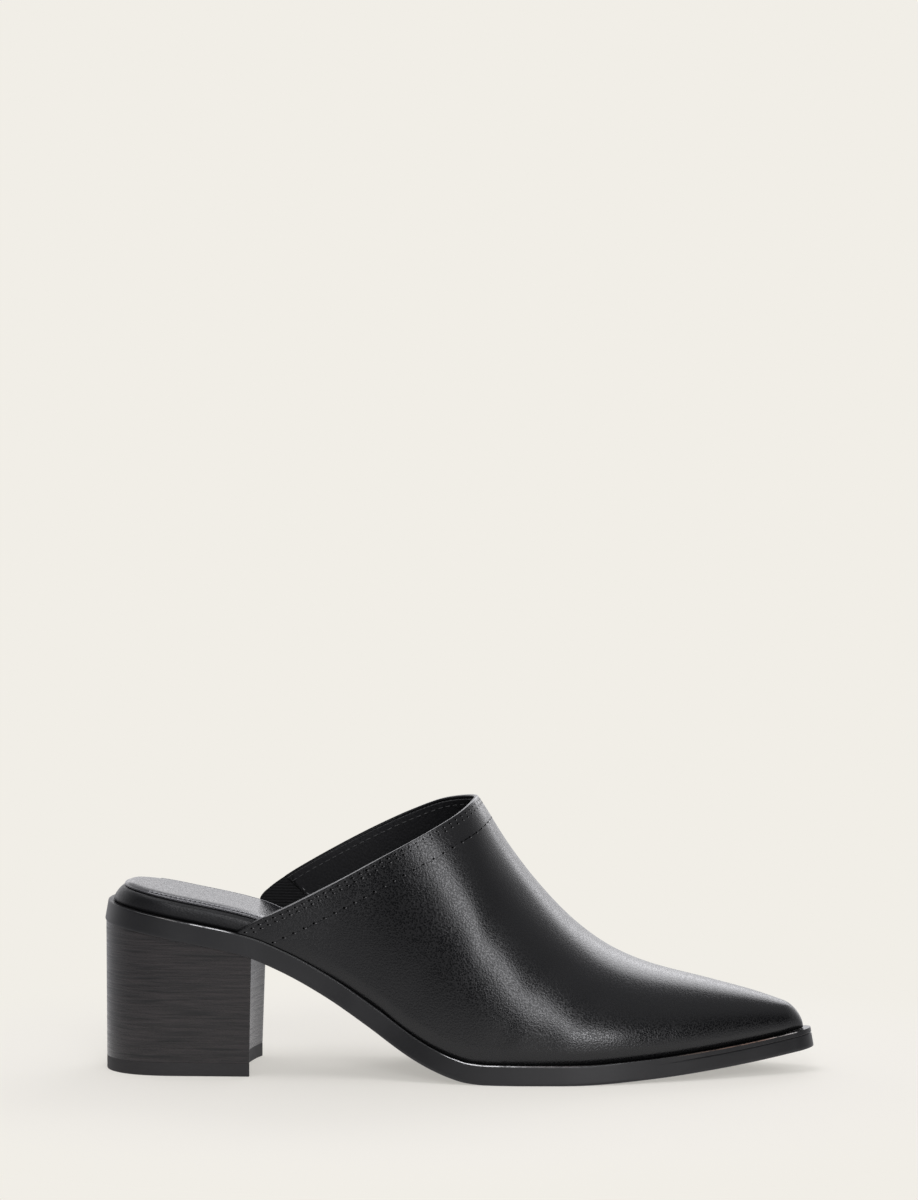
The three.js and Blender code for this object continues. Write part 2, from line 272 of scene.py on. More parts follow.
def roundedFront(distance, radius):
    return np.sqrt(1 - np.clip(1 - distance / radius, 0, 1) ** 2)


# The x between low and high where f changes sign, for a whole row of them at once.
def solve(f, low, high, rounds=36):
    low = np.asarray(low, float)
    high = np.asarray(high, float)
    startsPositive = f(low) > 0
    for _ in range(rounds):
        middle = (low + high) / 2
        same = (f(middle) > 0) == startsPositive
        low = np.where(same, middle, low)
        high = np.where(same, high, middle)
    return (low + high) / 2


# Positions from start to end, even along the middle and closer together round both ends.
def spaced(start, end, backRound, frontRound, middle, around):
    turn = np.arange(around) / around * quarterTurn
    back = start + backRound * (1 - np.cos(turn))
    front = end - frontRound * (1 - np.sin(turn + quarterTurn / around))
    return np.concatenate([back, np.linspace(start + backRound, end - frontRound, middle), front])


# The last: the outside of the upper at x. v runs round the section from the outer side's feather
# edge (-2) by its widest line (-1) over the top (0) and down the inner side (1, then 2).
def lastPoint(x, v):
    x, v = np.broadcast_arrays(np.asarray(x, float), np.asarray(v, float))
    taper = roundedFront(shoe["upperTip"] - x, shoe["noseRound"])
    side = np.sign(v)
    foot = soleTop(x) + shoe["gap"]
    height = ridgeHeight(x) - foot
    belly = shoe["bellyShare"] * height
    belly = belly / (1 + belly / shoe["bellyLimit"])
    tuck = upperTuck(x)
    centre = soleCentre(x)
    widest = soleHalf(x) - upperInset(x) + tuck
    ridge = ridgeSide(x) - centre
    angle = quarterTurn * np.clip(1 - np.abs(v), 0, 1)
    swell = 1 + upperFullness(x) * np.sin(angle) ** 2
    q = np.clip(2 - np.abs(v), 0, 1)
    above = ridge + (side * widest - ridge) * np.cos(angle) * swell
    below = side * (widest - tuck * (1 - q) ** 2)
    y = np.where(np.abs(v) > 1, below, above)
    z = np.where(np.abs(v) > 1, belly * q, belly + (height - belly) * np.sin(angle))
    return np.stack([x, centre + taper * y, foot + taper * z], axis=-1)


def lastNormal(x, v):
    x, v = np.broadcast_arrays(np.asarray(x, float), np.asarray(v, float))
    step = 0.02
    x = np.minimum(x, shoe["upperTip"] - 2 * step)
    ahead = lastPoint(x + step, v) - lastPoint(x - step, v)
    around = lastPoint(x, np.minimum(v + step / 4, 2)) - lastPoint(x, np.maximum(v - step / 4, -2))
    out = np.cross(ahead, around)
    return out / np.linalg.norm(out, axis=-1, keepdims=True)


# The same point moved into the wall, square to the surface. The feather edge stays on the sole.
def wallPoint(x, v, depth):
    depth = np.asarray(depth, float)
    atTip = (np.asarray(x, float) >= shoe["upperTip"] - 0.04)[..., None]
    out = np.where(atTip, np.array([1.0, 0, 0]), lastNormal(x, v))
    point = lastPoint(x, v) - out * depth[..., None]
    onFeather = np.broadcast_to(np.abs(v) >= 2, point.shape[:-1])
    point[..., 2] = np.where(onFeather, soleTop(point[..., 0]) + shoe["gap"], point[..., 2])
    return point


def collarX(v):
    v = np.asarray(v, float)

    def above(x):
        height = np.where(v < 0, collarOuterHeight(x), collarInnerHeight(x))
        return lastPoint(x, v)[..., 2] - height

    return solve(above, *(np.full(v.shape, end) for end in shoe["collarSearch"]))


def goreSeamX(v):
    v = np.asarray(v, float)

    def pastSeam(x):
        return x - goreSeamPlace(lastPoint(x, v)[..., 2])

    return solve(pastSeam, *(np.full(v.shape, end) for end in shoe["goreSearch"]))


# v where the gore's seam meets the collar
goreTop = float(solve(lambda v: goreSeamX(v) - collarX(v), 0.9, 1.0))


# Where the leather starts: at the collar, or on the inner side at the gore's seam.
def leatherStart(v):
    return np.where(v > goreTop, goreSeamX(v) + shoe["gap"], collarX(v))


# A line on the last, run on a little past both ends so that distances from it stay square.
def lineOnLast(xAt, vFrom, vTo, count):
    overrun = 12      # times the step between a point and the next but one
    v = np.linspace(vFrom, vTo, count)
    line = lastPoint(xAt(v), v)
    before = line[0] + (line[0] - line[2]) * overrun
    after = line[-1] + (line[-1] - line[-3]) * overrun
    return np.concatenate([[before], line, [after]])


def distanceFrom(line, points):
    shape = points.shape[:-1]
    points = points.reshape(-1, 1, 3)
    start = line[None, :-1]
    along = (line[1:] - line[:-1])[None]
    t = np.clip(((points - start) * along).sum(-1) / (along ** 2).sum(-1), 0, 1)
    gaps = np.linalg.norm(points - start - along * t[..., None], axis=-1)
    return gaps.min(axis=1).reshape(shape)


collarLine = lineOnLast(collarX, -2, goreTop, 260)
goreLine = lineOnLast(goreSeamX, goreTop, 2, 90)
cornerLine = np.concatenate([collarLine[:-1], goreLine[1:]])


# x of the points that lie a given distance forward of a line, one for each v.
def forwardOf(line, v, start, distance):
    def beyond(x):
        return distanceFrom(line, lastPoint(x, v)) - distance

    return solve(beyond, start, start + 3 * distance + 6, rounds=14)


# Millimetres on the shoe to metres in the frame.
def place(points):
    along = np.arange(0, shoe["length"], 1.0)
    outer, inner = soleCentre(along) - soleHalf(along), soleCentre(along) + soleHalf(along)
    middle = (outer.min() + inner.max()) / 2
    moved = np.array(points, float) / 1000
    moved[..., 0] += soleLow.x
    moved[..., 1] += (soleLow.y + soleHigh.y) / 2 - middle / 1000
    return moved


# Camera, floor and light

camera = {
    "target": (0, -0.00018, 0.048),
    "distance": 1.8,
    "turn": 3.3,      # degrees toward the toe
    "above": 7.5,     # degrees over the floor
    "lookDown": 3.467,   # less than above, so that the shoe stands low in the frame
    "lens": 144.66,
    "sensor": 36,
}


def makeCamera():
    turn, above, down = (math.radians(camera[key]) for key in ("turn", "above", "lookDown"))
    away = Vector((math.sin(turn) * math.cos(above), -math.cos(turn) * math.cos(above), math.sin(above)))
    look = Vector((-math.sin(turn) * math.cos(down), math.cos(turn) * math.cos(down), -math.sin(down)))
    data = bpy.data.cameras.new("camera")
    data.lens = camera["lens"]
    data.sensor_width = camera["sensor"]
    data.clip_start = 0.05
    data.clip_end = 50
    holder = bpy.data.objects.new("camera", data)
    holder.location = Vector(camera["target"]) + away * camera["distance"]
    holder.rotation_euler = look.to_track_quat("-Z", "Y").to_euler()
    bpy.context.scene.collection.objects.link(holder)
    bpy.context.scene.camera = holder


# A node with its input values, by socket, and its other settings.
def addNode(tree, kind, values=None, **settings):
    node = tree.nodes.new(kind)
    for key, value in settings.items():
        setattr(node, key, value)
    for key, value in (values or {}).items():
        node.inputs[key].default_value = value
    return node


# A node that mixes two colours: its inputs 6 and 7, by input 0, to output 2.
def mixColours(tree, first=None, second=None):
    mix = addNode(tree, "ShaderNodeMix", data_type="RGBA")
    for socket, colour in ((6, first), (7, second)):
        if colour:
            mix.inputs[socket].default_value = colour
    return mix


studio = {
    "pale": (0.880, 0.855, 0.799, 1),
    "front": (0.032, 0.033, 0.038, 1),
    "back": (1.34, 1.33, 1.36, 1),
    "backFrom": -0.25,                         # 0 is beside the shoe, 1 straight behind it
    "overhead": (0.42, 0.42, 0.44, 1),
    "overheadFrom": (0.12, 0.78),              # 0 is level, 1 straight up
    "lampTint": (0.97, 0.97, 1.0),
    "floorGlow": (0.40, 0.388, 0.362, 1),
    "floorBounce": (0.42, 0.42, 0.44, 1),      # the same glow as the shoe sees it
    "floorMatte": (0.535, 0.52, 0.483, 1),
    "floorAround": (0.62, 0.62, 0.645, 1),     # the floor farther off, as the shoe sees it
    "floorFade": (0.13, 0.27),                 # from the shoe's middle, where near turns to far
    "floorReach": 6.0,
}

# aim is the point that a lamp looks at, in metres; azimuth 0 is in front of the outer side, and more is
# toward the toe; roll leans the lamp's top toward the heel
lamps = {
    "softbox": {
        "aim": (0.02, 0, 0.05), "azimuth": 6, "elevation": 23, "away": 1.5,
        "size": (0.44, 0.8), "power": 7.0, "roll": 22,
    },
    "sideBox": {
        "aim": (0.05, -0.03, 0.02), "azimuth": 25, "elevation": 8, "away": 1.5,
        "size": (0.5, 0.26), "power": 4.4, "roll": 0,
    },
    "topPanel": {
        "aim": (0.02, 0, 0.05), "azimuth": -60, "elevation": 76, "away": 1.6,
        "size": (1.1, 0.8), "power": 7, "roll": 0,
    },
    "backPanel": {
        "aim": (0.04, 0, 0.04), "azimuth": 166, "elevation": 30, "away": 0.75,
        "size": (0.46, 0.4), "power": 1.4, "roll": 0,
    },
}


def makeWorld():
    world = bpy.data.worlds.new("studio")
    world.use_nodes = True
    tree = world.node_tree
    tree.nodes.clear()
    link = tree.links.new
    direction = addNode(tree, "ShaderNodeTexCoord")
    split = addNode(tree, "ShaderNodeSeparateXYZ")
    toBack = addNode(tree, "ShaderNodeMapRange", {"From Min": studio["backFrom"], "From Max": 1})
    toTop = addNode(tree, "ShaderNodeMapRange", {
        "From Min": studio["overheadFrom"][0], "From Max": studio["overheadFrom"][1],
    }, interpolation_type="SMOOTHSTEP")
    sides = mixColours(tree, studio["front"], studio["back"])
    topped = mixColours(tree, second=studio["overhead"])
    light = addNode(tree, "ShaderNodeBackground")
    seen = addNode(tree, "ShaderNodeBackground", {"Color": studio["pale"]})
    path = addNode(tree, "ShaderNodeLightPath")
    choose = addNode(tree, "ShaderNodeMixShader")
    output = addNode(tree, "ShaderNodeOutputWorld")
    link(direction.outputs["Generated"], split.inputs[0])
    link(split.outputs["Y"], toBack.inputs["Value"])
    link(split.outputs["Z"], toTop.inputs["Value"])
    link(toBack.outputs["Result"], sides.inputs[0])
    link(toTop.outputs["Result"], topped.inputs[0])
    link(sides.outputs[2], topped.inputs[6])
    link(topped.outputs[2], light.inputs["Color"])
    link(path.outputs["Is Camera Ray"], choose.inputs[0])
    link(light.outputs[0], choose.inputs[1])
    link(seen.outputs[0], choose.inputs[2])
    link(choose.outputs[0], output.inputs[0])
    bpy.context.scene.world = world


def makeLamps():
    for name, lamp in lamps.items():
        azimuth, elevation = math.radians(lamp["azimuth"]), math.radians(lamp["elevation"])
        away = Vector((
            math.sin(azimuth) * math.cos(elevation),
            -math.cos(azimuth) * math.cos(elevation),
            math.sin(elevation),
        ))
        data = bpy.data.lights.new(name, "AREA")
        data.shape = "RECTANGLE"
        data.size, data.size_y = lamp["size"]
        data.energy = lamp["power"]
        data.color = studio["lampTint"]
        holder = bpy.data.objects.new(name, data)
        holder.location = Vector(lamp["aim"]) + away * lamp["away"]
        holder.visible_camera = False
        roll = Quaternion((0, 0, 1), math.radians(lamp["roll"]))
        holder.rotation_euler = (away.to_track_quat("Z", "Y") @ roll).to_euler()
        bpy.context.scene.collection.objects.link(holder)


def makeFloor():
    reach = studio["floorReach"]
    mesh = bpy.data.meshes.new("floor")
    corners = [(-reach, -reach, 0), (reach, -reach, 0), (reach, reach, 0), (-reach, reach, 0)]
    mesh.from_pydata(corners, [], [(0, 1, 2, 3)])
    material = bpy.data.materials.new("paleFloor")
    material.use_nodes = True
    tree = material.node_tree
    tree.nodes.clear()
    link = tree.links.new
    glow = addNode(tree, "ShaderNodeEmission")
    path = addNode(tree, "ShaderNodeLightPath")
    tint = mixColours(tree, studio["floorBounce"], studio["floorGlow"])
    matte = addNode(tree, "ShaderNodeBsdfDiffuse", {"Color": studio["floorMatte"]})
    both = addNode(tree, "ShaderNodeAddShader")
    far = addNode(tree, "ShaderNodeEmission")
    farTint = mixColours(tree, studio["floorAround"], studio["pale"])
    where = addNode(tree, "ShaderNodeTexCoord")
    distance = addNode(tree, "ShaderNodeVectorMath", operation="LENGTH")
    fade = addNode(tree, "ShaderNodeMapRange", {
        "From Min": studio["floorFade"][0], "From Max": studio["floorFade"][1],
    }, interpolation_type="SMOOTHSTEP")
    choose = addNode(tree, "ShaderNodeMixShader")
    output = addNode(tree, "ShaderNodeOutputMaterial")
    link(path.outputs["Is Camera Ray"], tint.inputs[0])
    link(tint.outputs[2], glow.inputs["Color"])
    link(path.outputs["Is Camera Ray"], farTint.inputs[0])
    link(farTint.outputs[2], far.inputs["Color"])
    link(where.outputs["Object"], distance.inputs[0])
    link(distance.outputs["Value"], fade.inputs["Value"])
    link(fade.outputs["Result"], choose.inputs[0])
    link(glow.outputs[0], both.inputs[0])
    link(matte.outputs[0], both.inputs[1])
    link(both.outputs[0], choose.inputs[1])
    link(far.outputs[0], choose.inputs[2])
    link(choose.outputs[0], output.inputs[0])
    mesh.materials.append(material)
    floor = bpy.data.objects.new("floor", mesh)
    bpy.context.scene.collection.objects.link(floor)


makeCamera()
makeWorld()
makeLamps()
makeFloor()
bpy.context.scene.view_settings.view_transform = "Standard"
print("camera, floor and light ready")


# Finishes

# A new material with its tree, its shader and the function that links two of its sockets.
def startMaterial(name):
    material = bpy.data.materials.new(name)
    material.use_nodes = True
    tree = material.node_tree
    return material, tree, tree.nodes["Principled BSDF"], tree.links.new


# base and shade are the two tones; rough runs from the top of a pebble to the valley round it; grain is
# the size of a pebble and grainDeep its height, in metres
leathers = {
    "upperLeather": {
        "base": 0.0035, "shade": 0.0025, "rough": (0.17, 0.33), "grain": 0.00072, "grainDeep": 0.00004,
        "specular": 0.5,
    },
    "liningLeather": {
        "base": 0.01, "shade": 0.007, "rough": (0.45, 0.6), "grain": 0.0009, "grainDeep": 0.00006,
        "specular": 0.4,
    },
    "wrapLeather": {
        "base": 0.006, "shade": 0.0045, "rough": (0.34, 0.44), "grain": 0.0007, "grainDeep": 0.00004,
        "specular": 0.35,
    },
    "sockLeather": {
        "base": 0.03, "shade": 0.021, "rough": (0.16, 0.28), "grain": 0.0008, "grainDeep": 0.00005,
        "specular": 0.5,
    },
}


pebbleLook = {
    "domeSpan": (0.05, 0.3),     # squared distance from a pebble's middle, from glossy to dull
    "speckSize": 1.7,            # specks to a pebble
    "speckDeep": 0.2,
    "toneScale": 38,
    "blue": 1.12,                # how much stronger blue is than red and green
}


# Leather with a pebbled grain: small domes, glossy on top and dull between, and a slow change of tone.
def makeLeather(name):
    look = leathers[name]
    material, tree, shader, link = startMaterial(name)
    where = addNode(tree, "ShaderNodeTexCoord")
    pebbles = addNode(tree, "ShaderNodeTexVoronoi", {"Scale": 1 / look["grain"], "Randomness": 1},
                      feature="F1")
    speckScale = pebbleLook["speckSize"] / look["grain"]
    fine = addNode(tree, "ShaderNodeTexNoise", {"Scale": speckScale, "Detail": 2})
    slow = addNode(tree, "ShaderNodeTexNoise", {"Scale": pebbleLook["toneScale"], "Detail": 3})
    dome = addNode(tree, "ShaderNodeMath", operation="MULTIPLY")
    speck = addNode(tree, "ShaderNodeMath", operation="MULTIPLY")
    speck.inputs[1].default_value = pebbleLook["speckDeep"]
    height = addNode(tree, "ShaderNodeMath", operation="SUBTRACT")
    relief = addNode(tree, "ShaderNodeBump", {"Strength": 1, "Distance": look["grainDeep"]})
    greys = (look["shade"], look["base"])
    tone = mixColours(tree, *((grey, grey, grey * pebbleLook["blue"], 1) for grey in greys))
    polish = addNode(tree, "ShaderNodeMapRange", {
        "From Min": pebbleLook["domeSpan"][0], "From Max": pebbleLook["domeSpan"][1],
        "To Min": look["rough"][0], "To Max": look["rough"][1],
    })
    for texture in (pebbles, fine, slow):
        link(where.outputs["Object"], texture.inputs["Vector"])
    link(fine.outputs["Fac"], speck.inputs[0])
    link(speck.outputs[0], height.inputs[0])
    link(pebbles.outputs["Distance"], dome.inputs[0])
    link(pebbles.outputs["Distance"], dome.inputs[1])
    link(dome.outputs[0], height.inputs[1])
    link(height.outputs[0], relief.inputs["Height"])
    link(relief.outputs["Normal"], shader.inputs["Normal"])
    link(slow.outputs["Fac"], tone.inputs[0])
    link(tone.outputs[2], shader.inputs["Base Color"])
    link(dome.outputs[0], polish.inputs["Value"])
    link(polish.outputs["Result"], shader.inputs["Roughness"])
    shader.inputs["Specular IOR Level"].default_value = look["specular"]
    return material


stackLook = {
    "dark": (0.001, 0.001, 0.0012, 1),
    "light": (0.027, 0.0215, 0.0215, 1),
    "rough": (0.17, 0.36),
    "deep": 0.00005,
    "flatness": 24,              # times longer than high
    "streakScale": 60,
    "breakScale": 30,
    "toneSpan": (0.3, 0.7),      # of the streaks' noise, from dark and dull to light and glossy
    "breakSpan": (0.3, 0.36),
}


# Stacked heel leather: level streaks, thin and long, with a few darker breaks between the layers.
def makeStack(name):
    material, tree, shader, link = startMaterial(name)
    where = addNode(tree, "ShaderNodeTexCoord")
    stretch = addNode(tree, "ShaderNodeMapping", {"Scale": (1, 1, stackLook["flatness"])})
    streaks = addNode(tree, "ShaderNodeTexNoise", {
        "Scale": stackLook["streakScale"], "Detail": 5, "Roughness": 0.6,
    })
    breaks = addNode(tree, "ShaderNodeTexNoise", {"Scale": stackLook["breakScale"], "Detail": 2})
    tone = mixColours(tree, stackLook["dark"], stackLook["light"])
    dark, light = stackLook["toneSpan"]
    spread = addNode(tree, "ShaderNodeMapRange", {"From Min": dark, "From Max": light})
    cut = addNode(tree, "ShaderNodeMath", operation="MULTIPLY")
    polish = addNode(tree, "ShaderNodeMapRange", {
        "From Min": dark, "From Max": light, "To Min": stackLook["rough"][1], "To Max": stackLook["rough"][0],
    })
    dark, light = stackLook["breakSpan"]
    gaps = addNode(tree, "ShaderNodeMapRange", {"From Min": dark, "From Max": light})
    relief = addNode(tree, "ShaderNodeBump", {"Strength": 1, "Distance": stackLook["deep"]})
    link(where.outputs["Object"], stretch.inputs["Vector"])
    link(stretch.outputs[0], streaks.inputs["Vector"])
    link(stretch.outputs[0], breaks.inputs["Vector"])
    link(breaks.outputs["Fac"], gaps.inputs["Value"])
    link(streaks.outputs["Fac"], spread.inputs["Value"])
    link(spread.outputs["Result"], cut.inputs[0])
    link(gaps.outputs["Result"], cut.inputs[1])
    link(cut.outputs[0], tone.inputs[0])
    link(tone.outputs[2], shader.inputs["Base Color"])
    link(streaks.outputs["Fac"], polish.inputs["Value"])
    link(polish.outputs["Result"], shader.inputs["Roughness"])
    link(cut.outputs[0], relief.inputs["Height"])
    link(relief.outputs["Normal"], shader.inputs["Normal"])
    return material


# mottle is the size of the spots and deep their relief, in metres
plainFinishes = {
    "soleEdge": {"colour": (0.0085, 0.0083, 0.009), "rough": 0.36, "mottle": 0.0016, "deep": 0.00002},
    "liftRubber": {"colour": (0.018, 0.0165, 0.0165), "rough": 0.75, "mottle": 0.0007, "deep": 0.0001},
    "blackThread": {"colour": (0.009, 0.009, 0.0095), "rough": 0.55, "mottle": 0.0003, "deep": 0.00002},
    "liningThread": {"colour": (0.065, 0.065, 0.065), "rough": 0.6, "mottle": 0.0003, "deep": 0.00002},
    "sockThread": {"colour": (0.4, 0.4, 0.41), "rough": 0.6, "mottle": 0.0003, "deep": 0.00002},
    # light grey: painted glints on the holes' lips, and the light thread of the gore's inner rows
    "threadEnd": {"colour": (0.16, 0.158, 0.158), "rough": 0.35, "mottle": 0.0003, "deep": 0.00001},
    # near-black and unlit: painted shade inside the needle holes, and on the band's thread in its groove
    "needleHole": {"colour": (0.0008, 0.0008, 0.0008), "rough": 0.95, "mottle": 0.0004, "deep": 0.00001,
                   "specular": 0.02},
}
plainTones = (0.75, 1.2)     # the darkest and the lightest, beside a finish's colour
plainSpread = 0.05           # how far its roughness strays each way


# Painted highlight along the outsole's upper rim where its edge catches the light, and dye worn off to brown
# leather toward the toe: how light the rim is, by distance from the back of the sole.
rimHighlightAndWear = table("x red green blue", [
    (0, 0.5, 0.5, 0.5),
    (5, 0.4, 0.4, 0.4),
    (10, 0.06, 0.06, 0.06),
    (21, 0.02, 0.02, 0.02),
    (25, 0.2, 0.19, 0.18),
    (32, 0.16, 0.16, 0.16),
    (37, 0.75, 0.75, 0.75),
    (46, 0.75, 0.75, 0.75),
    (52, 0.03, 0.03, 0.03),
    (115, 0.02, 0.02, 0.02),
    (121, 0.3, 0.3, 0.3),
    (128, 0.85, 0.85, 0.85),
    (150, 0.85, 0.85, 0.85),
    (159, 0.2, 0.19, 0.19),
    (172, 0.12, 0.11, 0.11),
    (184, 0.02, 0.02, 0.02),
    (212, 0.02, 0.02, 0.02),
    (222, 0.10, 0.07, 0.055),
    (245, 0.22, 0.14, 0.11),
    (252, 0.4, 0.37, 0.35),
    (264, 0.6, 0.6, 0.6),
])


foldHighlight = (0.3, 0.3, 0.3, 1)    # painted highlight on the folded rim's top, where it catches the light


# The collar's folded rim, painted lighter as a highlight where the piece's own map says so.
def addFoldHighlight(material):
    tree = material.node_tree
    link = tree.links.new
    shader = tree.nodes["Principled BSDF"]
    dyed = shader.inputs["Base Color"].links[0].from_socket
    worn = addNode(tree, "ShaderNodeAttribute", attribute_name="worn")
    mix = mixColours(tree, second=foldHighlight)
    link(worn.outputs["Fac"], mix.inputs[0])
    link(dyed, mix.inputs[6])
    link(mix.outputs[2], shader.inputs["Base Color"])


# The outsole's upper rim, in the table's colours and in patches: painted highlight, and wear toward the toe.
def addRimHighlightAndWear(material):
    tree = material.node_tree
    link = tree.links.new
    shader = tree.nodes["Principled BSDF"]
    dyed = shader.inputs["Base Color"].links[0].from_socket
    where = addNode(tree, "ShaderNodeTexCoord")
    split = addNode(tree, "ShaderNodeSeparateXYZ")
    along = addNode(tree, "ShaderNodeMapRange", {"From Min": soleLow.x, "From Max": soleHigh.x})
    ramp = addNode(tree, "ShaderNodeValToRGB")
    stops = ramp.color_ramp.elements
    for x in rimHighlightAndWear["x"][1:-1]:
        stops.new(x / shoe["length"])
    for stop, *colour in zip(stops, rimHighlightAndWear["red"], rimHighlightAndWear["green"], rimHighlightAndWear["blue"]):
        stop.color = (*colour, 1)
    worn = addNode(tree, "ShaderNodeAttribute", attribute_name="worn")
    rimNoise = addNode(tree, "ShaderNodeTexNoise", {"Scale": 420, "Detail": 3})
    patchy = addNode(tree, "ShaderNodeMapRange", {"From Min": 0.32, "From Max": 0.5})
    share = addNode(tree, "ShaderNodeMath", operation="MULTIPLY")
    mix = mixColours(tree)
    link(where.outputs["Object"], split.inputs[0])
    link(where.outputs["Object"], rimNoise.inputs["Vector"])
    link(split.outputs["X"], along.inputs["Value"])
    link(along.outputs["Result"], ramp.inputs["Fac"])
    link(rimNoise.outputs["Fac"], patchy.inputs["Value"])
    link(patchy.outputs["Result"], share.inputs[0])
    link(worn.outputs["Fac"], share.inputs[1])
    link(share.outputs[0], mix.inputs[0])
    link(dyed, mix.inputs[6])
    link(ramp.outputs["Color"], mix.inputs[7])
    link(mix.outputs[2], shader.inputs["Base Color"])


def tinted(colour, share):
    return (*(channel * share for channel in colour), 1)


def makePlain(name):
    look = plainFinishes[name]
    material, tree, shader, link = startMaterial(name)
    where = addNode(tree, "ShaderNodeTexCoord")
    mottle = addNode(tree, "ShaderNodeTexNoise", {"Scale": 1 / look["mottle"], "Detail": 3})
    slow = addNode(tree, "ShaderNodeTexNoise", {"Scale": 60, "Detail": 2})
    tone = mixColours(tree, *(tinted(look["colour"], share) for share in plainTones))
    polish = addNode(tree, "ShaderNodeMapRange", {
        "From Min": 0.3, "From Max": 0.7,
        "To Min": look["rough"] - plainSpread, "To Max": look["rough"] + plainSpread,
    })
    relief = addNode(tree, "ShaderNodeBump", {"Strength": 1, "Distance": look["deep"]})
    link(where.outputs["Object"], mottle.inputs["Vector"])
    link(where.outputs["Object"], slow.inputs["Vector"])
    link(slow.outputs["Fac"], tone.inputs[0])
    link(tone.outputs[2], shader.inputs["Base Color"])
    link(slow.outputs["Fac"], polish.inputs["Value"])
    link(polish.outputs["Result"], shader.inputs["Roughness"])
    link(mottle.outputs["Fac"], relief.inputs["Height"])
    link(relief.outputs["Normal"], shader.inputs["Normal"])
    shader.inputs["Specular IOR Level"].default_value = look.get("specular", 0.5)
    return material


elasticLook = {
    "rib": 0.0011,               # from one rib to the next, in metres
    "colour": (0.009, 0.009, 0.0095),
    "tones": (0.5, 1.5),
    "threadShare": 0.4,          # of the threads, beside the ribs
    "deep": 0.00012,
    "rough": 0.85,
    "specular": 0.3,
}


# Woven elastic: ribs along the stretch, crossed by a fine weave, from the piece's own map.
def makeElastic(name):
    material, tree, shader, link = startMaterial(name)
    where = addNode(tree, "ShaderNodeUVMap", uv_map="weave")
    ribScale = math.pi / 10 / elasticLook["rib"]     # a wave of scale 1 repeats every tenth of pi
    ribs = addNode(tree, "ShaderNodeTexWave", {"Scale": ribScale, "Distortion": 0.3},
                   wave_type="BANDS", bands_direction="Y")
    threads = addNode(tree, "ShaderNodeTexWave", {"Scale": 2 * ribScale, "Distortion": 0.3},
                      wave_type="BANDS", bands_direction="X")
    weave = addNode(tree, "ShaderNodeMath", operation="MULTIPLY_ADD")
    weave.inputs[1].default_value = elasticLook["threadShare"]
    tone = mixColours(tree, *(tinted(elasticLook["colour"], share) for share in elasticLook["tones"]))
    relief = addNode(tree, "ShaderNodeBump", {"Strength": 1, "Distance": elasticLook["deep"]})
    for texture in (ribs, threads):
        link(where.outputs["UV"], texture.inputs["Vector"])
    link(threads.outputs["Fac"], weave.inputs[0])
    link(ribs.outputs["Fac"], weave.inputs[2])
    link(weave.outputs[0], tone.inputs[0])
    link(tone.outputs[2], shader.inputs["Base Color"])
    link(weave.outputs[0], relief.inputs["Height"])
    link(relief.outputs["Normal"], shader.inputs["Normal"])
    shader.inputs["Roughness"].default_value = elasticLook["rough"]
    shader.inputs["Specular IOR Level"].default_value = elasticLook["specular"]
    return material


finishes = {name: makeLeather(name) for name in leathers}
finishes.update({name: makePlain(name) for name in plainFinishes})
addRimHighlightAndWear(finishes["soleEdge"])
addFoldHighlight(finishes["upperLeather"])
finishes["heelStack"] = makeStack("heelStack")
finishes["goreElastic"] = makeElastic("goreElastic")
print("finishes ready")


# Bodies

# The skin of a block of points, given as an array over (along, across, up): its six sides, welded.
def skinOfBlock(block):
    sides = [
        block[:, :, -1],
        block[:, :, 0].swapaxes(0, 1),
        block[-1],
        block[0].swapaxes(0, 1),
        block[:, -1].swapaxes(0, 1),
        block[:, 0],
    ]
    corners, quads, start = [], [], 0
    for side in sides:
        rows, columns = side.shape[:2]
        index = np.arange(rows * columns).reshape(rows, columns) + start
        ring = [index[:-1, :-1], index[1:, :-1], index[1:, 1:], index[:-1, 1:]]
        quads.append(np.stack(ring, -1).reshape(-1, 4))
        corners.append(side.reshape(-1, 3))
        start += rows * columns
    corners, quads = np.concatenate(corners), np.concatenate(quads)
    _, first, same = np.unique(np.round(corners, 3), axis=0, return_index=True, return_inverse=True)
    points, quads = corners[first], same.reshape(-1)[quads]
    faces = []
    for quad in quads.tolist():
        face = [corner for i, corner in enumerate(quad) if corner != quad[i - 1]]
        if len(set(face)) == len(face) and len(face) > 2:
            faces.append(face)
    a, b, c = (points[[face[i] for face in faces]] for i in range(3))
    d = points[[face[-1] for face in faces]]
    volume = (a * np.cross(b, c)).sum() + (a * np.cross(c, d)).sum()
    if volume < 0:
        faces = [face[::-1] for face in faces]
    return points, faces


def makePiece(name, points, faces, finish, slotName, sharpAngle):
    mesh = bpy.data.meshes.new(name)
    mesh.from_pydata(place(points).tolist(), [], faces)
    mesh.materials.append(finishes[finish])
    mesh.shade_smooth()
    mesh.set_sharp_from_angle(angle=math.radians(sharpAngle))
    mesh.update()
    piece = bpy.data.objects.new(name, mesh)
    bpy.context.scene.collection.objects.link(piece)
    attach(piece, "root")
    return piece


# Both side lines of a flat outline, moved in by the inset square to the line, as (along, side, xy).
def insetSides(x, outerY, innerY, inset):
    sides = []
    for y, turn in ((outerY, 1), (innerY, -1)):
        line = np.stack([x, y], -1)
        tangent = np.gradient(line, axis=0)
        tangent /= np.maximum(np.linalg.norm(tangent, axis=1, keepdims=True), 1e-9)
        inward = np.stack([-tangent[:, 1], tangent[:, 0]], -1) * turn
        inward[0] = (1, 0)
        inward[-1] = (-1, 0)
        sides.append(line + inward * inset)
    return np.stack(sides, 1)


def acrossSides(sides, across):
    return lerp(sides[:, None, 0], sides[:, None, 1], across[None, :, None])


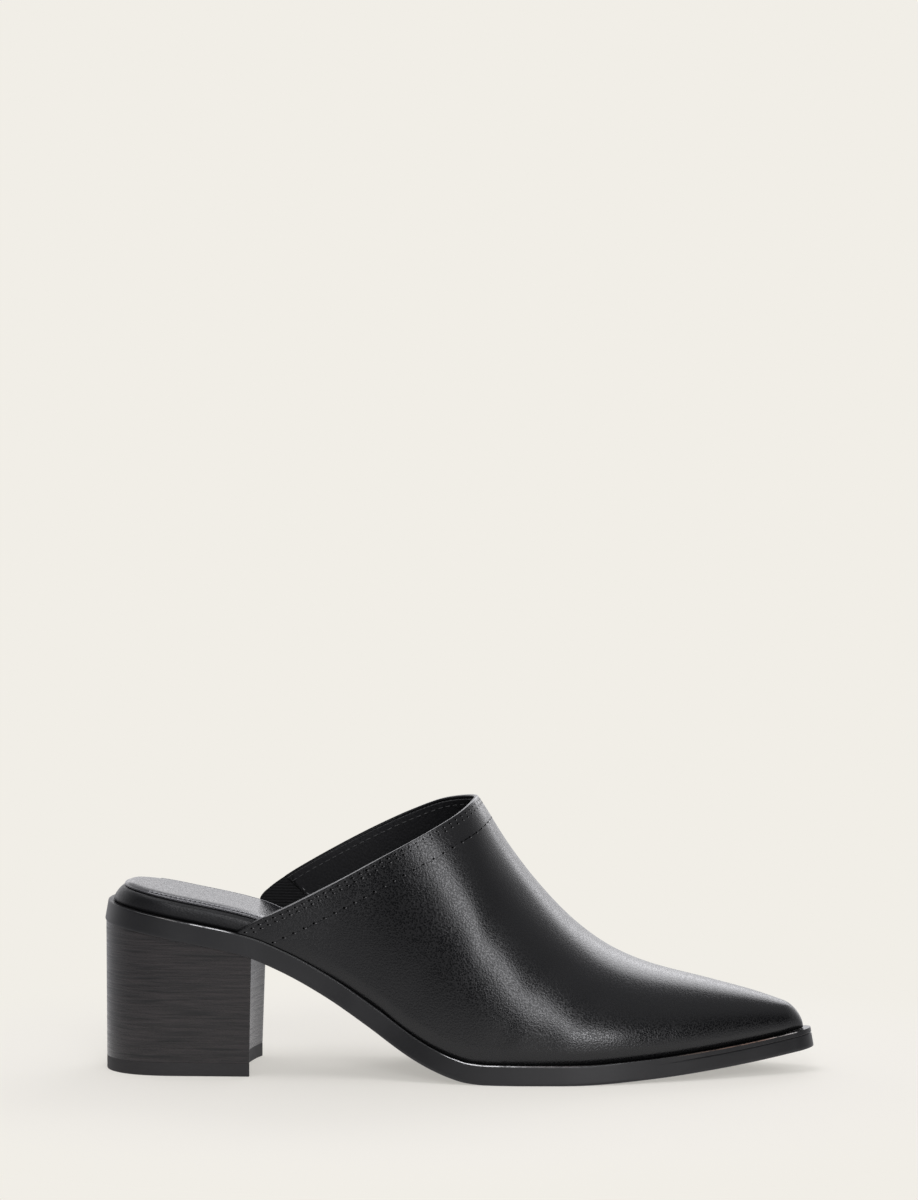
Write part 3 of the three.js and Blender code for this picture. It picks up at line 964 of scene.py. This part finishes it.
# Shares from one side to the other, closer together near both.
def sharesAcross(count):
    return (1 - np.cos(np.linspace(0, math.pi, count))) / 2


# Set how much of a finish's painted highlight and wear colour each point takes.
def markWearAndHighlight(piece, shares):
    piece.data.attributes.new("worn", "FLOAT", "POINT").data.foreach_set("value", shares.astype(float))


# Upper

upper = {
    # the folded edge from outside to inside: how deep in the wall, how far below the top
    "fold": [(0, 0.75), (0.01, 0.5), (0.06, 0.36), (0.17, 0.29), (0.6, 0.18), (1.0, 0.08), (1.25, 0.03),
             (1.4, 0.12), (1.5, 0.45)],
    # columns round the section: below and above the widest line, and along the gore's seam
    "columns": {"outerLow": 19, "outer": 86, "inner": 74, "seam": 26, "innerLow": 19},
    "crowding": (1.2, 1.15),     # 1 is even, more crowds outer and inner toward the low ends of the collar
    "rowsToToe": 104,
    "rowsRoundNose": 10,
    "needleRows": (1.7, 3.3),    # the double row beside the collar edge
    "bandSeam": 10.0,            # the third row, in its groove
    "needleDip": 0.03,
    "needleWide": 0.4,
    "seamDip": 0.05,
    "seamWide": 0.3,
    "puff": 0.02,                # how far the skin stands out between its rows,
    "puffs": ((2.5, 0.45), (7, 2.4)),    # how far from the collar, and how wide
    "seamsEnd": 175,             # the rows all lie behind this x
    "creased": (95, 215),        # and the creases between these
    "reliefFrom": 1.6,           # the relief is whole this high above the sole
    # the painted highlight on the collar's folded rim: how far from its edge, and above what height
    "highlightWide": 0.4,
    "highlightAbove": 60,
}

# where the skin's rows lie, by distance from the collar and the gore's seam
rowDistances = [1.0, 1.3, 1.5, 1.7, 1.9, 2.2, 2.5, 2.8, 3.1, 3.3, 3.5, 3.8, 4.4, 5.2, 6.2, 7.2, 8.2, 8.9,
                9.3, 9.6, 9.8, 10, 10.2, 10.4, 10.7, 11.1, 11.8, 12.8, 14.2, 16]


def columnsAround():
    share = {name: np.linspace(0, 1, count) for name, count in upper["columns"].items()}
    outerCrowding, innerCrowding = upper["crowding"]
    return np.concatenate([
        -2 + share["outerLow"][:-1],
        -1 + share["outer"] ** outerCrowding,
        np.sort(goreTop * (1 - share["inner"] ** innerCrowding))[1:],
        lerp(goreTop, 1, share["seam"])[1:],
        1 + share["innerLow"][1:],
    ])


# How the skin sinks along its stitched lines and puffs between them, by distance from the collar.
def seamRelief(distance):
    relief = upper["seamDip"] * bump(distance - upper["bandSeam"], upper["seamWide"])
    for row in upper["needleRows"]:
        relief += upper["needleDip"] * bump(distance - row, upper["needleWide"])
    for row, wide in upper["puffs"]:
        relief -= upper["puff"] * bump(distance - row, wide)
    return relief


# Soft troughs left by wear and by lasting: where each starts and ends on the last, and its size.
creases = table("x1 v1 x2 v2 wide deep", [
    (150, -0.98, 171, -0.55, 5.0, 0.22),
    (163, -1.05, 184, -0.66, 4.5, 0.18),
    (141, -0.80, 156, -0.35, 6.0, 0.16),
    (118, -0.95, 133, -0.70, 7.0, 0.14),
    (150, 0.98, 173, 0.55, 5.0, 0.22),
    (164, 1.05, 186, 0.62, 4.5, 0.18),
])


def creaseRelief(points):
    relief = np.zeros(points.shape[:-1])
    share = np.linspace(0, 1, 12)
    for x1, v1, x2, v2, wide, deep in zip(*creases.values()):
        line = lastPoint(lerp(x1, x2, share), lerp(v1, v2, share))
        relief += deep * bump(distanceFrom(line, points), wide)
    return relief


# Distances from the collar, worked out only where they matter.
def distanceFromCollar(points):
    distance = np.full(points.shape[:-1], np.inf)
    near = points[..., 0] < upper["seamsEnd"]
    distance[near] = distanceFrom(collarLine, points[near])
    return distance


around = columnsAround()
leatherFrom = leatherStart(around)


# x of the rows that go on from the last of the first ones, to the toe and round its nose.
def shellRows(firstRows, toTip, rowsToToe):
    start = firstRows[-1]
    noseFrom = toTip - shoe["noseRound"]
    rows = [lerp(start, noseFrom, share) for share in np.linspace(0, 1, rowsToToe)[1:]]
    turns = np.linspace(0, quarterTurn, upper["rowsRoundNose"])[1:]
    rows += [np.full(len(start), noseFrom + shoe["noseRound"] * math.sin(turn)) for turn in turns]
    return rows


def makeUpper():
    rim = []
    for depth, below in upper["fold"]:
        x = forwardOf(cornerLine, around, leatherFrom, below)
        rim.append(wallPoint(x, around, np.full(len(around), depth)))
    inside = upper["fold"][-1][0]
    levels = [depth / inside for depth, _ in upper["fold"]]
    rows = [forwardOf(cornerLine, around, leatherFrom, distance) for distance in rowDistances]
    rows += shellRows(rows, shoe["upperTip"], upper["rowsToToe"])
    x = np.array(rows)
    v = np.broadcast_to(around, x.shape)
    skin = lastPoint(x, v)
    sink = seamRelief(distanceFromCollar(skin))
    onVamp = (x > upper["creased"][0]) & (x < upper["creased"][1])
    sink[onVamp] += creaseRelief(skin[onVamp])
    sink *= smoothStep(0, upper["reliefFrom"], skin[..., 2] - soleTop(x) - shoe["gap"])
    block = np.stack([wallPoint(x, v, lerp(sink, inside, level)) for level in levels], axis=2)
    block = np.concatenate([np.stack(rim, axis=1)[None], block])
    points, faces = skinOfBlock(block)
    piece = makePiece("upperShell", points, faces, "upperLeather", "upper_leather", 60)
    # the fold's top edge takes the painted highlight
    markWearAndHighlight(piece, (distanceFromCollar(points) < upper["highlightWide"]) & (points[:, 2] > upper["highlightAbove"]))
    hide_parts("upper")


lining = {
    "from": 1.25,                # how far below the collar its cut edge lies
    "firstRows": (0, 0.3, 1.5),
    "rowsToToe": 60,
    "shortOfTip": 0.6,
    "outside": 1.56,             # depth in the wall
    "edgeRound": 0.6,            # how far its cut edge bulges, beside its first row's width
}


def makeLining():
    inside = shoe["wall"]
    rows = [forwardOf(cornerLine, around, leatherFrom, lining["from"] + row) for row in lining["firstRows"]]
    rows += shellRows(rows, shoe["upperTip"] - lining["shortOfTip"], lining["rowsToToe"])
    x = np.array(rows)[:, ::2]
    v = np.broadcast_to(around[::2], x.shape)
    levels = [lining["outside"], lerp(lining["outside"], inside, 0.5), inside]
    block = np.stack([wallPoint(x, v, np.full(x.shape, level)) for level in levels], axis=2)
    block[0, :, 1] = lerp(block[0, :, 1], block[1, :, 1], -lining["edgeRound"])
    makePiece("liningShell", *skinOfBlock(block), "liningLeather", "upper_leather", 60)


gore = {
    "depths": (0.65, 1.95, 6),   # in the wall: from, to, and how many layers of points
    "columns": 26,
    "rows": (40, 22),            # above the widest line and below it
    "underSeam": 0.9,            # how far it goes on under the leather
    "belowCollar": 0.12,
    "narrowest": 0.1,
    "threadLean": 0.35,          # how far the threads across the ribs lean, beside their height
}


def makeGore():
    above, below = gore["rows"]
    v = np.concatenate([np.linspace(goreTop, 1, above), np.linspace(1, 2, below)[1:]])
    seam = goreSeamX(v) + gore["underSeam"]
    collar = np.minimum(collarX(v) + gore["belowCollar"], seam - gore["narrowest"])
    share = np.linspace(0, 1, gore["columns"])[:, None]
    x = lerp(collar[None], seam[None], share)
    vs = np.broadcast_to(v, x.shape)
    layers = [wallPoint(x, vs, np.full(x.shape, depth)) for depth in np.linspace(*gore["depths"])]
    block = np.stack(layers, axis=2)
    points, faces = skinOfBlock(block)
    piece = makePiece("goreElastic", points, faces, "goreElastic", "gore_elastic", 60)
    weave = piece.data.uv_layers.new(name="weave")
    spots = place(points)
    for loop in piece.data.loops:
        spot = spots[loop.vertex_index]
        weave.data[loop.index].uv = (spot[0] + gore["threadLean"] * spot[2], spot[2])
    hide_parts("elastic_gore")


makeUpper()
makeLining()
makeGore()
print("upper, lining and gore ready")


# Sole and heel

# Half the outsole's width, rounded off at both ends.
def outsoleHalf(x):
    return soleHalf(x) * roundedBack(x) * roundedFront(shoe["length"] - x, outsole["toeRound"])


def makeOutsole():
    x = spaced(0, shoe["length"], outsole["heelRound"], outsole["toeRound"], outsole["columns"],
               outsole["columnsRound"])
    half = outsoleHalf(x)
    across = sharesAcross(outsole["rowsAcross"])
    underHeel = lerp(outsole["sharpUnderHeel"], 1, smoothStep(*outsole["underHeel"], x))
    atToe = lerp(1, outsole["sharpAtToe"], smoothStep(*outsole["atToe"], x))
    lineShare = smoothStep(*outsole["lineFades"], x)
    levels = []
    edge = outsole["edge"] + [(0, outsole["lineUp"] + up) for up in (-0.05, -0.02, 0, 0.02, 0.05)]
    edge.sort(key=lambda row: (row[1], -row[0] if row[1] < 0.5 else row[0]))
    for inset, up in edge:
        sharper = underHeel if up < 0.1 else atToe if up > 0.9 else np.ones(len(x))
        groove = outsole["lineDeep"] * bump(up - outsole["lineUp"], outsole["lineWide"])
        insets = (inset * sharper + groove * lineShare)[:, None]
        sides = insetSides(x, soleCentre(x) - half, soleCentre(x) + half, insets)
        flat = acrossSides(sides, across)
        low = soleBottom(flat[..., 0])
        slope = soleSlope(flat[..., 0])
        topX = flat[..., 0] - outsole["thick"] * slope / np.hypot(1, slope)
        levels.append(np.stack([
            lerp(flat[..., 0], topX, up), flat[..., 1], lerp(low, soleTop(topX), up),
        ], -1))
    points, faces = skinOfBlock(np.stack(levels, 2))
    piece = makePiece("outsoleSlab", points, faces, "soleEdge", "sole_leather", 28)
    x, y, z = points.T
    fromSide = outsoleHalf(x) - np.abs(y - soleCentre(x))
    # the strip of the rim that is painted lighter: highlight, and wear toward the toe
    nearRim = (z > soleTop(x) - outsole["rimDeep"]) & (fromSide < outsole["rimWide"])
    markWearAndHighlight(piece, nearRim * np.where(y > soleCentre(x), outsole["wornInside"], 1))
    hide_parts("outsole")


heel = {
    "length": 57.1,
    "halfTop": 28.9,
    "halfFoot": 25.4,
    "lift": 5.0,
    "overhang": 0.4,
    "hollow": 3.5,
    "lean": 1.1,
    "corner": 0.45,              # how round its two upright corners are
    "edge": 0.08,                # and its top and bottom edges
    "seam": 0.02,                # left between it and what it meets
    "columns": (26, 16),         # along each side, and round each end
    "rows": 33,
    "liftProfile": [(0.35, 0), (0.1, 0.1), (0, 0.35), (0, 2.5), (0, 4.8), (0.02, 4.95), (0.08, 5)],
}


# A heel's plan at one height: u from the back to the breast, w across, moved in by inset.
def heelPlan(u, w, half, front, inset):
    breast = front - heel["hollow"] * (1 - w ** 2)
    distance = u * (front - heel["overhang"])
    ahead = (1 - u) * (front - heel["overhang"])
    corner = heel["corner"] * (1 - roundedFront(ahead, heel["corner"]))
    x = heel["overhang"] + inset + u * (breast - heel["overhang"] - 2 * inset)
    y = w * ((half - inset) * roundedBack(distance) - corner)
    return x, y


def heelGrid():
    length = heel["length"]
    u = spaced(0, 1, outsole["heelRound"] / length, heel["corner"] / length, *heel["columns"])
    return np.meshgrid(u, np.linspace(-1, 1, heel["rows"]), indexing="ij")


def makeHeelBlock():
    u, w = heelGrid()
    foot = heel["lift"] + heel["seam"]
    rounding = [(1 - math.sin(turn), 1 - math.cos(turn)) for turn in np.linspace(0, quarterTurn, 5)]
    steps = [(heel["edge"] * out, heel["edge"] * up, 0) for out, up in rounding]
    steps += [(0, 0, share) for share in np.linspace(0.02, 0.98, 12)]
    steps += [(heel["edge"] * out, -heel["edge"] * up, 1) for out, up in reversed(rounding)]
    levels = []
    for inset, shift, share in steps:
        half = lerp(heel["halfFoot"], heel["halfTop"], share)
        front = heel["length"] - heel["lean"] * (1 - share)
        x, y = heelPlan(u, w, half, front, inset)
        z = lerp(foot, soleBottom(x) - heel["seam"], share) + shift
        levels.append(np.stack([x, y, z], -1))
    piece = makePiece("heelBlock", *skinOfBlock(np.stack(levels, 2)), "heelStack", "heel_stack", 50)
    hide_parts("heel_block")


def makeLift():
    u, w = heelGrid()
    half = heel["halfFoot"]
    front = heel["length"] - heel["lean"]
    levels = []
    for inset, z in heel["liftProfile"]:
        x, y = heelPlan(u, w, half, front, inset)
        levels.append(np.stack([x, y, np.full(x.shape, z)], -1))
    piece = makePiece("heelLift", *skinOfBlock(np.stack(levels, 2)), "liftRubber", "heel_lift", 50)
    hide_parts("heel_top_piece")


makeOutsole()
makeHeelBlock()
makeLift()
print("sole and heel ready")


# Footbed and sock

footbed = {
    "back": 3.0,
    "tip": 254.0,
    "round": 24.5,
    "tipRound": 6.0,
    "sideInset": 3.5,
    "lean": 3.6,                 # how far its back leans forward
    "seam": 0.05,                # left over the outsole
    # from the sole up: how far in, how far up, and how much of the back's lean it takes
    "profile": [(0.7, 0, 0), (0.15, 0.08, 0.05), (0, 0.2, 0.12), (0, 0.4, 0.3), (0.1, 0.6, 0.5),
                (0.28, 0.78, 0.72), (0.6, 0.91, 0.9), (1.05, 0.975, 1), (1.7, 1, 1)],
}

sock = {
    "back": 7.3,
    "tip": 246.0,
    "round": 21.5,
    "tipRound": 8.0,
    "inset": 2.5,
    "sunk": 0.25,                # how far its underside lies in the wrap
    "edge": 0.7,                 # how far it stands up at its side, and in its middle
    "crown": 1.65,
    "shoulder": 5.4,             # how far in from its side the pad goes on rising
    "endSteeper": 1.2,           # how much faster it rises from its ends
    "rowsAcross": 41,
    "profile": [(0.3, 0.02), (0.05, 0.3), (0, 0.55), (0.12, 0.8), (0.4, 0.95), (0.8, 1.0)],
}

footbedColumns = (96, 16)        # along each side, and round each end


def footbedHalf(x):
    return soleHalf(x) - np.maximum(footbed["sideInset"], upperInset(x) + shoe["wall"] + shoe["gap"])


def sockHalf(x):
    return footbedHalf(x) - sock["inset"]


def footbedOutline(part, half):
    x = spaced(part["back"], part["tip"], part["round"], part["tipRound"], *footbedColumns)
    rounding = roundedBack(x - part["back"], part["round"]) * roundedFront(part["tip"] - x, part["tipRound"])
    return x, half(x) * rounding


def makeFootbed():
    x, half = footbedOutline(footbed, footbedHalf)
    across = sharesAcross(outsole["rowsAcross"])
    levels = []
    for inset, up, leanShare in footbed["profile"]:
        sides = insetSides(x, soleCentre(x) - half, soleCentre(x) + half, inset)
        flat = acrossSides(sides, across)
        behind = flat[..., 0] - footbed["back"]
        lean = footbed["lean"] * leanShare * np.clip(1 - behind / footbed["round"], 0, 1) ** 2
        placed = flat[..., 0] + lean
        z = soleTop(placed) + footbed["seam"] + (footbedHeight(flat[..., 0]) + shoe["gap"]) * up
        levels.append(np.stack([placed, flat[..., 1], z], -1))
    piece = makePiece("footbedWrap", *skinOfBlock(np.stack(levels, 2)), "wrapLeather", "wrap_leather", 50)
    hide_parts("footbed")


def sockUnder(x):
    return soleTop(x) + 2 * shoe["gap"] + footbedHeight(x)


def sockThick(fromSide):
    share = np.clip(fromSide / sock["shoulder"], 0, 1)
    return lerp(sock["edge"], sock["crown"], share * (2 - share))


def makeSock():
    x, half = footbedOutline(sock, sockHalf)
    across = sharesAcross(sock["rowsAcross"])
    levels = []
    for inset, up in sock["profile"]:
        sides = insetSides(x, soleCentre(x) - half, soleCentre(x) + half, inset)
        flat = acrossSides(sides, across)
        fromSide = half[:, None] * (1 - np.abs(2 * across[None] - 1))
        fromEnd = np.minimum(x - sock["back"], sock["tip"] - x)[:, None]
        thick = sockThick(np.minimum(fromSide, fromEnd * sock["endSteeper"]))
        z = sockUnder(flat[..., 0]) - sock["sunk"] + (thick + sock["sunk"]) * up
        levels.append(np.stack([flat[..., 0], flat[..., 1], z], -1))
    piece = makePiece("sockPad", *skinOfBlock(np.stack(levels, 2)), "sockLeather", "sock_leather", 50)
    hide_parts("sock_pad")


makeFootbed()
makeSock()
print("footbed and sock ready")


# Sewing: beads set along a line by a node tree, each turned along the line and square to the skin

def makeSewingTree():
    tree = bpy.data.node_groups.new("sewing", "GeometryNodeTree")
    face = tree.interface
    face.new_socket("Line", in_out="INPUT", socket_type="NodeSocketGeometry")
    for name, value in (("Pitch", 0.003), ("Length", 0.001), ("Width", 0.0004), ("Height", 0.0002),
                        ("Raise", 0.0), ("Slant", 0.0)):
        face.new_socket(name, in_out="INPUT", socket_type="NodeSocketFloat").default_value = value
    face.new_socket("Finish", in_out="INPUT", socket_type="NodeSocketMaterial")
    face.new_socket("Beads", in_out="OUTPUT", socket_type="NodeSocketGeometry")
    link = tree.links.new
    given = tree.nodes.new("NodeGroupInput")
    made = tree.nodes.new("NodeGroupOutput")
    curve = addNode(tree, "GeometryNodeMeshToCurve")
    spread = addNode(tree, "GeometryNodeResampleCurve", mode="LENGTH")
    tangent = addNode(tree, "GeometryNodeInputTangent")
    outward = addNode(tree, "GeometryNodeInputNamedAttribute", {"Name": "outward"},
                      data_type="FLOAT_VECTOR")
    axes = addNode(tree, "FunctionNodeAxesToRotation", primary_axis="Z", secondary_axis="X")
    bead = addNode(tree, "GeometryNodeMeshUVSphere", {"Segments": 8, "Rings": 5, "Radius": 0.5})
    size = addNode(tree, "ShaderNodeCombineXYZ")
    lift = addNode(tree, "ShaderNodeCombineXYZ")
    twist = addNode(tree, "ShaderNodeCombineXYZ")
    shaped = addNode(tree, "GeometryNodeTransform")
    turned = addNode(tree, "GeometryNodeTransform")
    placed = addNode(tree, "GeometryNodeInstanceOnPoints")
    real = addNode(tree, "GeometryNodeRealizeInstances")
    smooth = addNode(tree, "GeometryNodeSetShadeSmooth")
    finish = addNode(tree, "GeometryNodeSetMaterial")
    link(given.outputs["Line"], curve.inputs["Mesh"])
    link(curve.outputs["Curve"], spread.inputs["Curve"])
    link(given.outputs["Pitch"], spread.inputs["Length"])
    for axis, name in enumerate(("Length", "Width", "Height")):
        link(given.outputs[name], size.inputs[axis])
    link(given.outputs["Raise"], lift.inputs[2])
    link(given.outputs["Slant"], twist.inputs[2])
    link(bead.outputs["Mesh"], shaped.inputs["Geometry"])
    link(size.outputs[0], shaped.inputs["Scale"])
    link(shaped.outputs[0], turned.inputs["Geometry"])
    link(lift.outputs[0], turned.inputs["Translation"])
    link(twist.outputs[0], turned.inputs["Rotation"])
    link(outward.outputs["Attribute"], axes.inputs["Primary Axis"])
    link(tangent.outputs[0], axes.inputs["Secondary Axis"])
    link(spread.outputs["Curve"], placed.inputs["Points"])
    link(turned.outputs[0], placed.inputs["Instance"])
    link(axes.outputs[0], placed.inputs["Rotation"])
    link(placed.outputs[0], real.inputs[0])
    link(real.outputs[0], smooth.inputs["Geometry"])
    link(smooth.outputs[0], finish.inputs["Geometry"])
    link(given.outputs["Finish"], finish.inputs["Material"])
    link(finish.outputs[0], made.inputs["Beads"])
    return tree


sewingTree = makeSewingTree()


# The part of a line past a given length, so that stitches can start half a pitch after their holes.
def startedAt(points, outward, shift):
    steps = np.linalg.norm(np.diff(points, axis=0), axis=1)
    run = np.concatenate([[0], np.cumsum(steps)])
    at = np.linspace(shift, run[-1], len(points))
    points = np.stack([np.interp(at, run, points[:, i]) for i in range(3)], -1)
    outward = np.stack([np.interp(at, run, outward[:, i]) for i in range(3)], -1)
    return points, outward


# Beads along one line as a piece of its own. Sizes are in millimetres, and the slant in radians.
def sewLine(name, points, outward, sizes, finish, slotName, shift=0.0):
    points, outward = startedAt(points, outward, shift)
    mesh = bpy.data.meshes.new(name + "Line")
    mesh.from_pydata(place(points).tolist(), [(i, i + 1) for i in range(len(points) - 1)], [])
    mesh.attributes.new("outward", "FLOAT_VECTOR", "POINT").data.foreach_set("vector", outward.ravel())
    line = bpy.data.objects.new(name + "Line", mesh)
    bpy.context.scene.collection.objects.link(line)
    modifier = line.modifiers.new("sewing", "NODES")
    modifier.node_group = sewingTree
    for item in sewingTree.interface.items_tree:
        if item.in_out == "INPUT" and item.name in sizes:
            modifier[item.identifier] = sizes[item.name] / (1 if item.name == "Slant" else 1000)
        if item.in_out == "INPUT" and item.name == "Finish":
            modifier[item.identifier] = finishes[finish]
    seen = line.evaluated_get(bpy.context.evaluated_depsgraph_get())
    sewn = bpy.data.meshes.new_from_object(seen)
    sewn.name = name
    line.modifiers.clear()
    bpy.data.objects.remove(line)
    piece = bpy.data.objects.new(name, sewn)
    bpy.context.scene.collection.objects.link(piece)
    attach(piece, "root")


sewing = {
    "rowHoleShade": {"Pitch": 2.95, "Length": 0.8, "Width": 0.66, "Height": 0.16, "Raise": 0.0},
    "rowLipGlint": {"Pitch": 2.95, "Length": 0.5, "Width": 0.34, "Height": 0.24, "Raise": 0.0},
    "bandHoleShade": {"Pitch": 4.15, "Length": 0.95, "Width": 0.8, "Height": 0.2, "Raise": 0.0},
    "bandLipGlint": {"Pitch": 4.15, "Length": 0.6, "Width": 0.3, "Height": 0.24, "Raise": 0.0},
    "bandStitch": {"Pitch": 4.15, "Length": 2.9, "Width": 0.34, "Height": 0.16, "Raise": 0.0},
    "liningEdgeHighlight": {"Pitch": 1.5, "Length": 2.4, "Width": 0.3, "Height": 0.3, "Raise": 0.0},
    "liningStitch": {"Pitch": 2.95, "Length": 2.3, "Width": 0.4, "Height": 0.34, "Raise": 0.05},
    "goreStitch": {"Pitch": 2.2, "Length": 1.7, "Width": 0.4, "Height": 0.34, "Raise": 0.05},
}

# where each line starts on the outer side (v), and how far short of the gore's top it stops
sewnFrom = {"needle": (-1.9, 0.006), "band": (-1.85, 0.03), "lining": (-1.5, 0.006)}

# light grey beads beside the holes, painted glints on their lips: how far below them, how far on along the
# line, and how deep in
lipGlints = {"rowBelow": 0.42, "rowOn": 0.3, "bandBelow": 0.45, "bandOn": 0.4, "bandDeep": 0.02}

sewnAt = {
    "firstHole": 0.3,            # from the line's start
    "bandDepth": 0.8,            # of the groove's own depth
    "bandThread": (-0.4, 0.3),   # v between which thread fills the groove, over the top
    "liningRow": 3.3,            # from the collar
    "liningEdgeDeep": 0.4,       # under the lining's own outside
    "goreRows": (1.3, 3.8),      # from the gore's seam
    "goreInside": 0.6,           # how much farther the inside's rows are
    "goreSpan": (0.004, 1.9),    # past the gore's top, and v where they end
}


# A line on the leather's outside or the lining's inside, a given distance from the collar or seam.
def lineForward(line, startX, vFrom, vTo, distance, depth, inside=False):
    v = np.linspace(vFrom, vTo, 240)
    x = forwardOf(line, v, startX(v), distance)
    outward = lastNormal(x, v) * (-1 if inside else 1)
    return wallPoint(x, v, np.full(len(v), depth)), outward


def collarLineAt(span, distance, depth, inside=False):
    start, short = sewnFrom[span]
    return lineForward(collarLine, collarX, start, goreTop - short, distance, depth, inside)


def makeSewing():
    pitch = sewing["rowHoleShade"]["Pitch"]
    for number, distance in enumerate(upper["needleRows"], 1):
        start = pitch * (number - 1) / 2 + sewnAt["firstHole"]
        # dark beads: painted shade in the needle holes
        holes = collarLineAt("needle", distance, upper["needleDip"])
        sewLine(f"needleHoles{number}", *holes, sewing["rowHoleShade"], "needleHole", "upper_leather", start)
        # light grey beads: painted glints on the holes' lips
        below = collarLineAt("needle", distance + lipGlints["rowBelow"], upper["needleDip"])
        sewLine(f"needleLips{number}", *below, sewing["rowLipGlint"], "threadEnd", "upper_leather",
                start + lipGlints["rowOn"])
    depth = upper["seamDip"] * sewnAt["bandDepth"]
    band = collarLineAt("band", upper["bandSeam"], depth)
    # dark beads: painted shade in the band's holes
    sewLine("bandHoleShades", *band, sewing["bandHoleShade"], "needleHole", "upper_leather")
    onTop = lineForward(collarLine, collarX, *sewnAt["bandThread"], upper["bandSeam"], depth)
    # thread over the top in the band's groove, unlit: partly the thread's own black, partly painted shade of
    # the groove
    sewLine("bandThread", *onTop, sewing["bandStitch"], "needleHole", "upper_leather")
    below = collarLineAt("band", upper["bandSeam"] + lipGlints["bandBelow"], lipGlints["bandDeep"])
    sewLine("bandLipGlints", *below, sewing["bandLipGlint"], "threadEnd", "upper_leather", lipGlints["bandOn"])
    inside = collarLineAt("lining", sewnAt["liningRow"], shoe["wall"], True)
    sewLine("liningThread", *inside, sewing["liningStitch"], "liningThread", "upper_leather")
    # a line of light beads along the lining's cut edge: a painted highlight where the edge catches the light
    edge = collarLineAt("lining", lining["from"], lining["outside"] + sewnAt["liningEdgeDeep"], True)
    sewLine("liningEdgeHighlight", *edge, sewing["liningEdgeHighlight"], "liningThread", "upper_leather")
    past, end = sewnAt["goreSpan"]
    for number, distance in enumerate(sewnAt["goreRows"], 1):
        sides = (("Outside", distance, 0, "blackThread"),
                 ("Inside", distance + sewnAt["goreInside"], shoe["wall"], "threadEnd"))
        for side, forward, depth, finish in sides:
            line = lineForward(goreLine, goreSeamX, goreTop + past, end, forward, depth, side == "Inside")
            sewLine(f"goreThread{side}{number}", *line, sewing["goreStitch"], finish, "upper_leather")


sockSewing = {
    "lines": (0.2, 1.9),         # the two fine cords on the pad's edge, and how far in they lie
    "row": 1.05,
    "raise": 0.04,               # how far the threads lie over the pad
    "edgeDrop": 0.12,            # and how much lower the outer cord lies
    "cord": {"Pitch": 1.5, "Length": 2.6, "Width": 0.26, "Height": 0.26, "Raise": 0.0},
    "stitch": {"Pitch": 1.8, "Length": 1.5, "Width": 0.34, "Height": 0.3, "Raise": 0.05, "Slant": 0.75},
    "starts": 17.0,
    "ends": 150.0,
}


def makeSockSewing():
    x, half = footbedOutline(sock, sockHalf)
    keep = (x > sockSewing["starts"]) & (x < sockSewing["ends"])
    rows = [(f"sockCord{i}", inset, "cord") for i, inset in enumerate(sockSewing["lines"], 1)]
    rows.append(("sockThread", sockSewing["row"], "stitch"))
    for name, inset, kind in rows:
        sides = insetSides(x, soleCentre(x) - half, soleCentre(x) + half, inset)
        for side, sideName in ((0, "Outer"), (1, "Inner")):
            flat = sides[keep, side]
            z = sockUnder(flat[:, 0]) + sockThick(inset) + sockSewing["raise"]
            z -= sockSewing["edgeDrop"] * (inset == min(sockSewing["lines"]))
            slope = np.gradient(z, flat[:, 0])
            outward = np.stack([-slope, np.zeros(len(slope)), np.ones(len(slope))], -1)
            outward /= np.linalg.norm(outward, axis=1, keepdims=True)
            sewLine(name + sideName, np.stack([*flat.T, z], -1), outward, sockSewing[kind], "sockThread",
                    "sock_leather")


makeSewing()
makeSockSewing()
print("sewing ready")
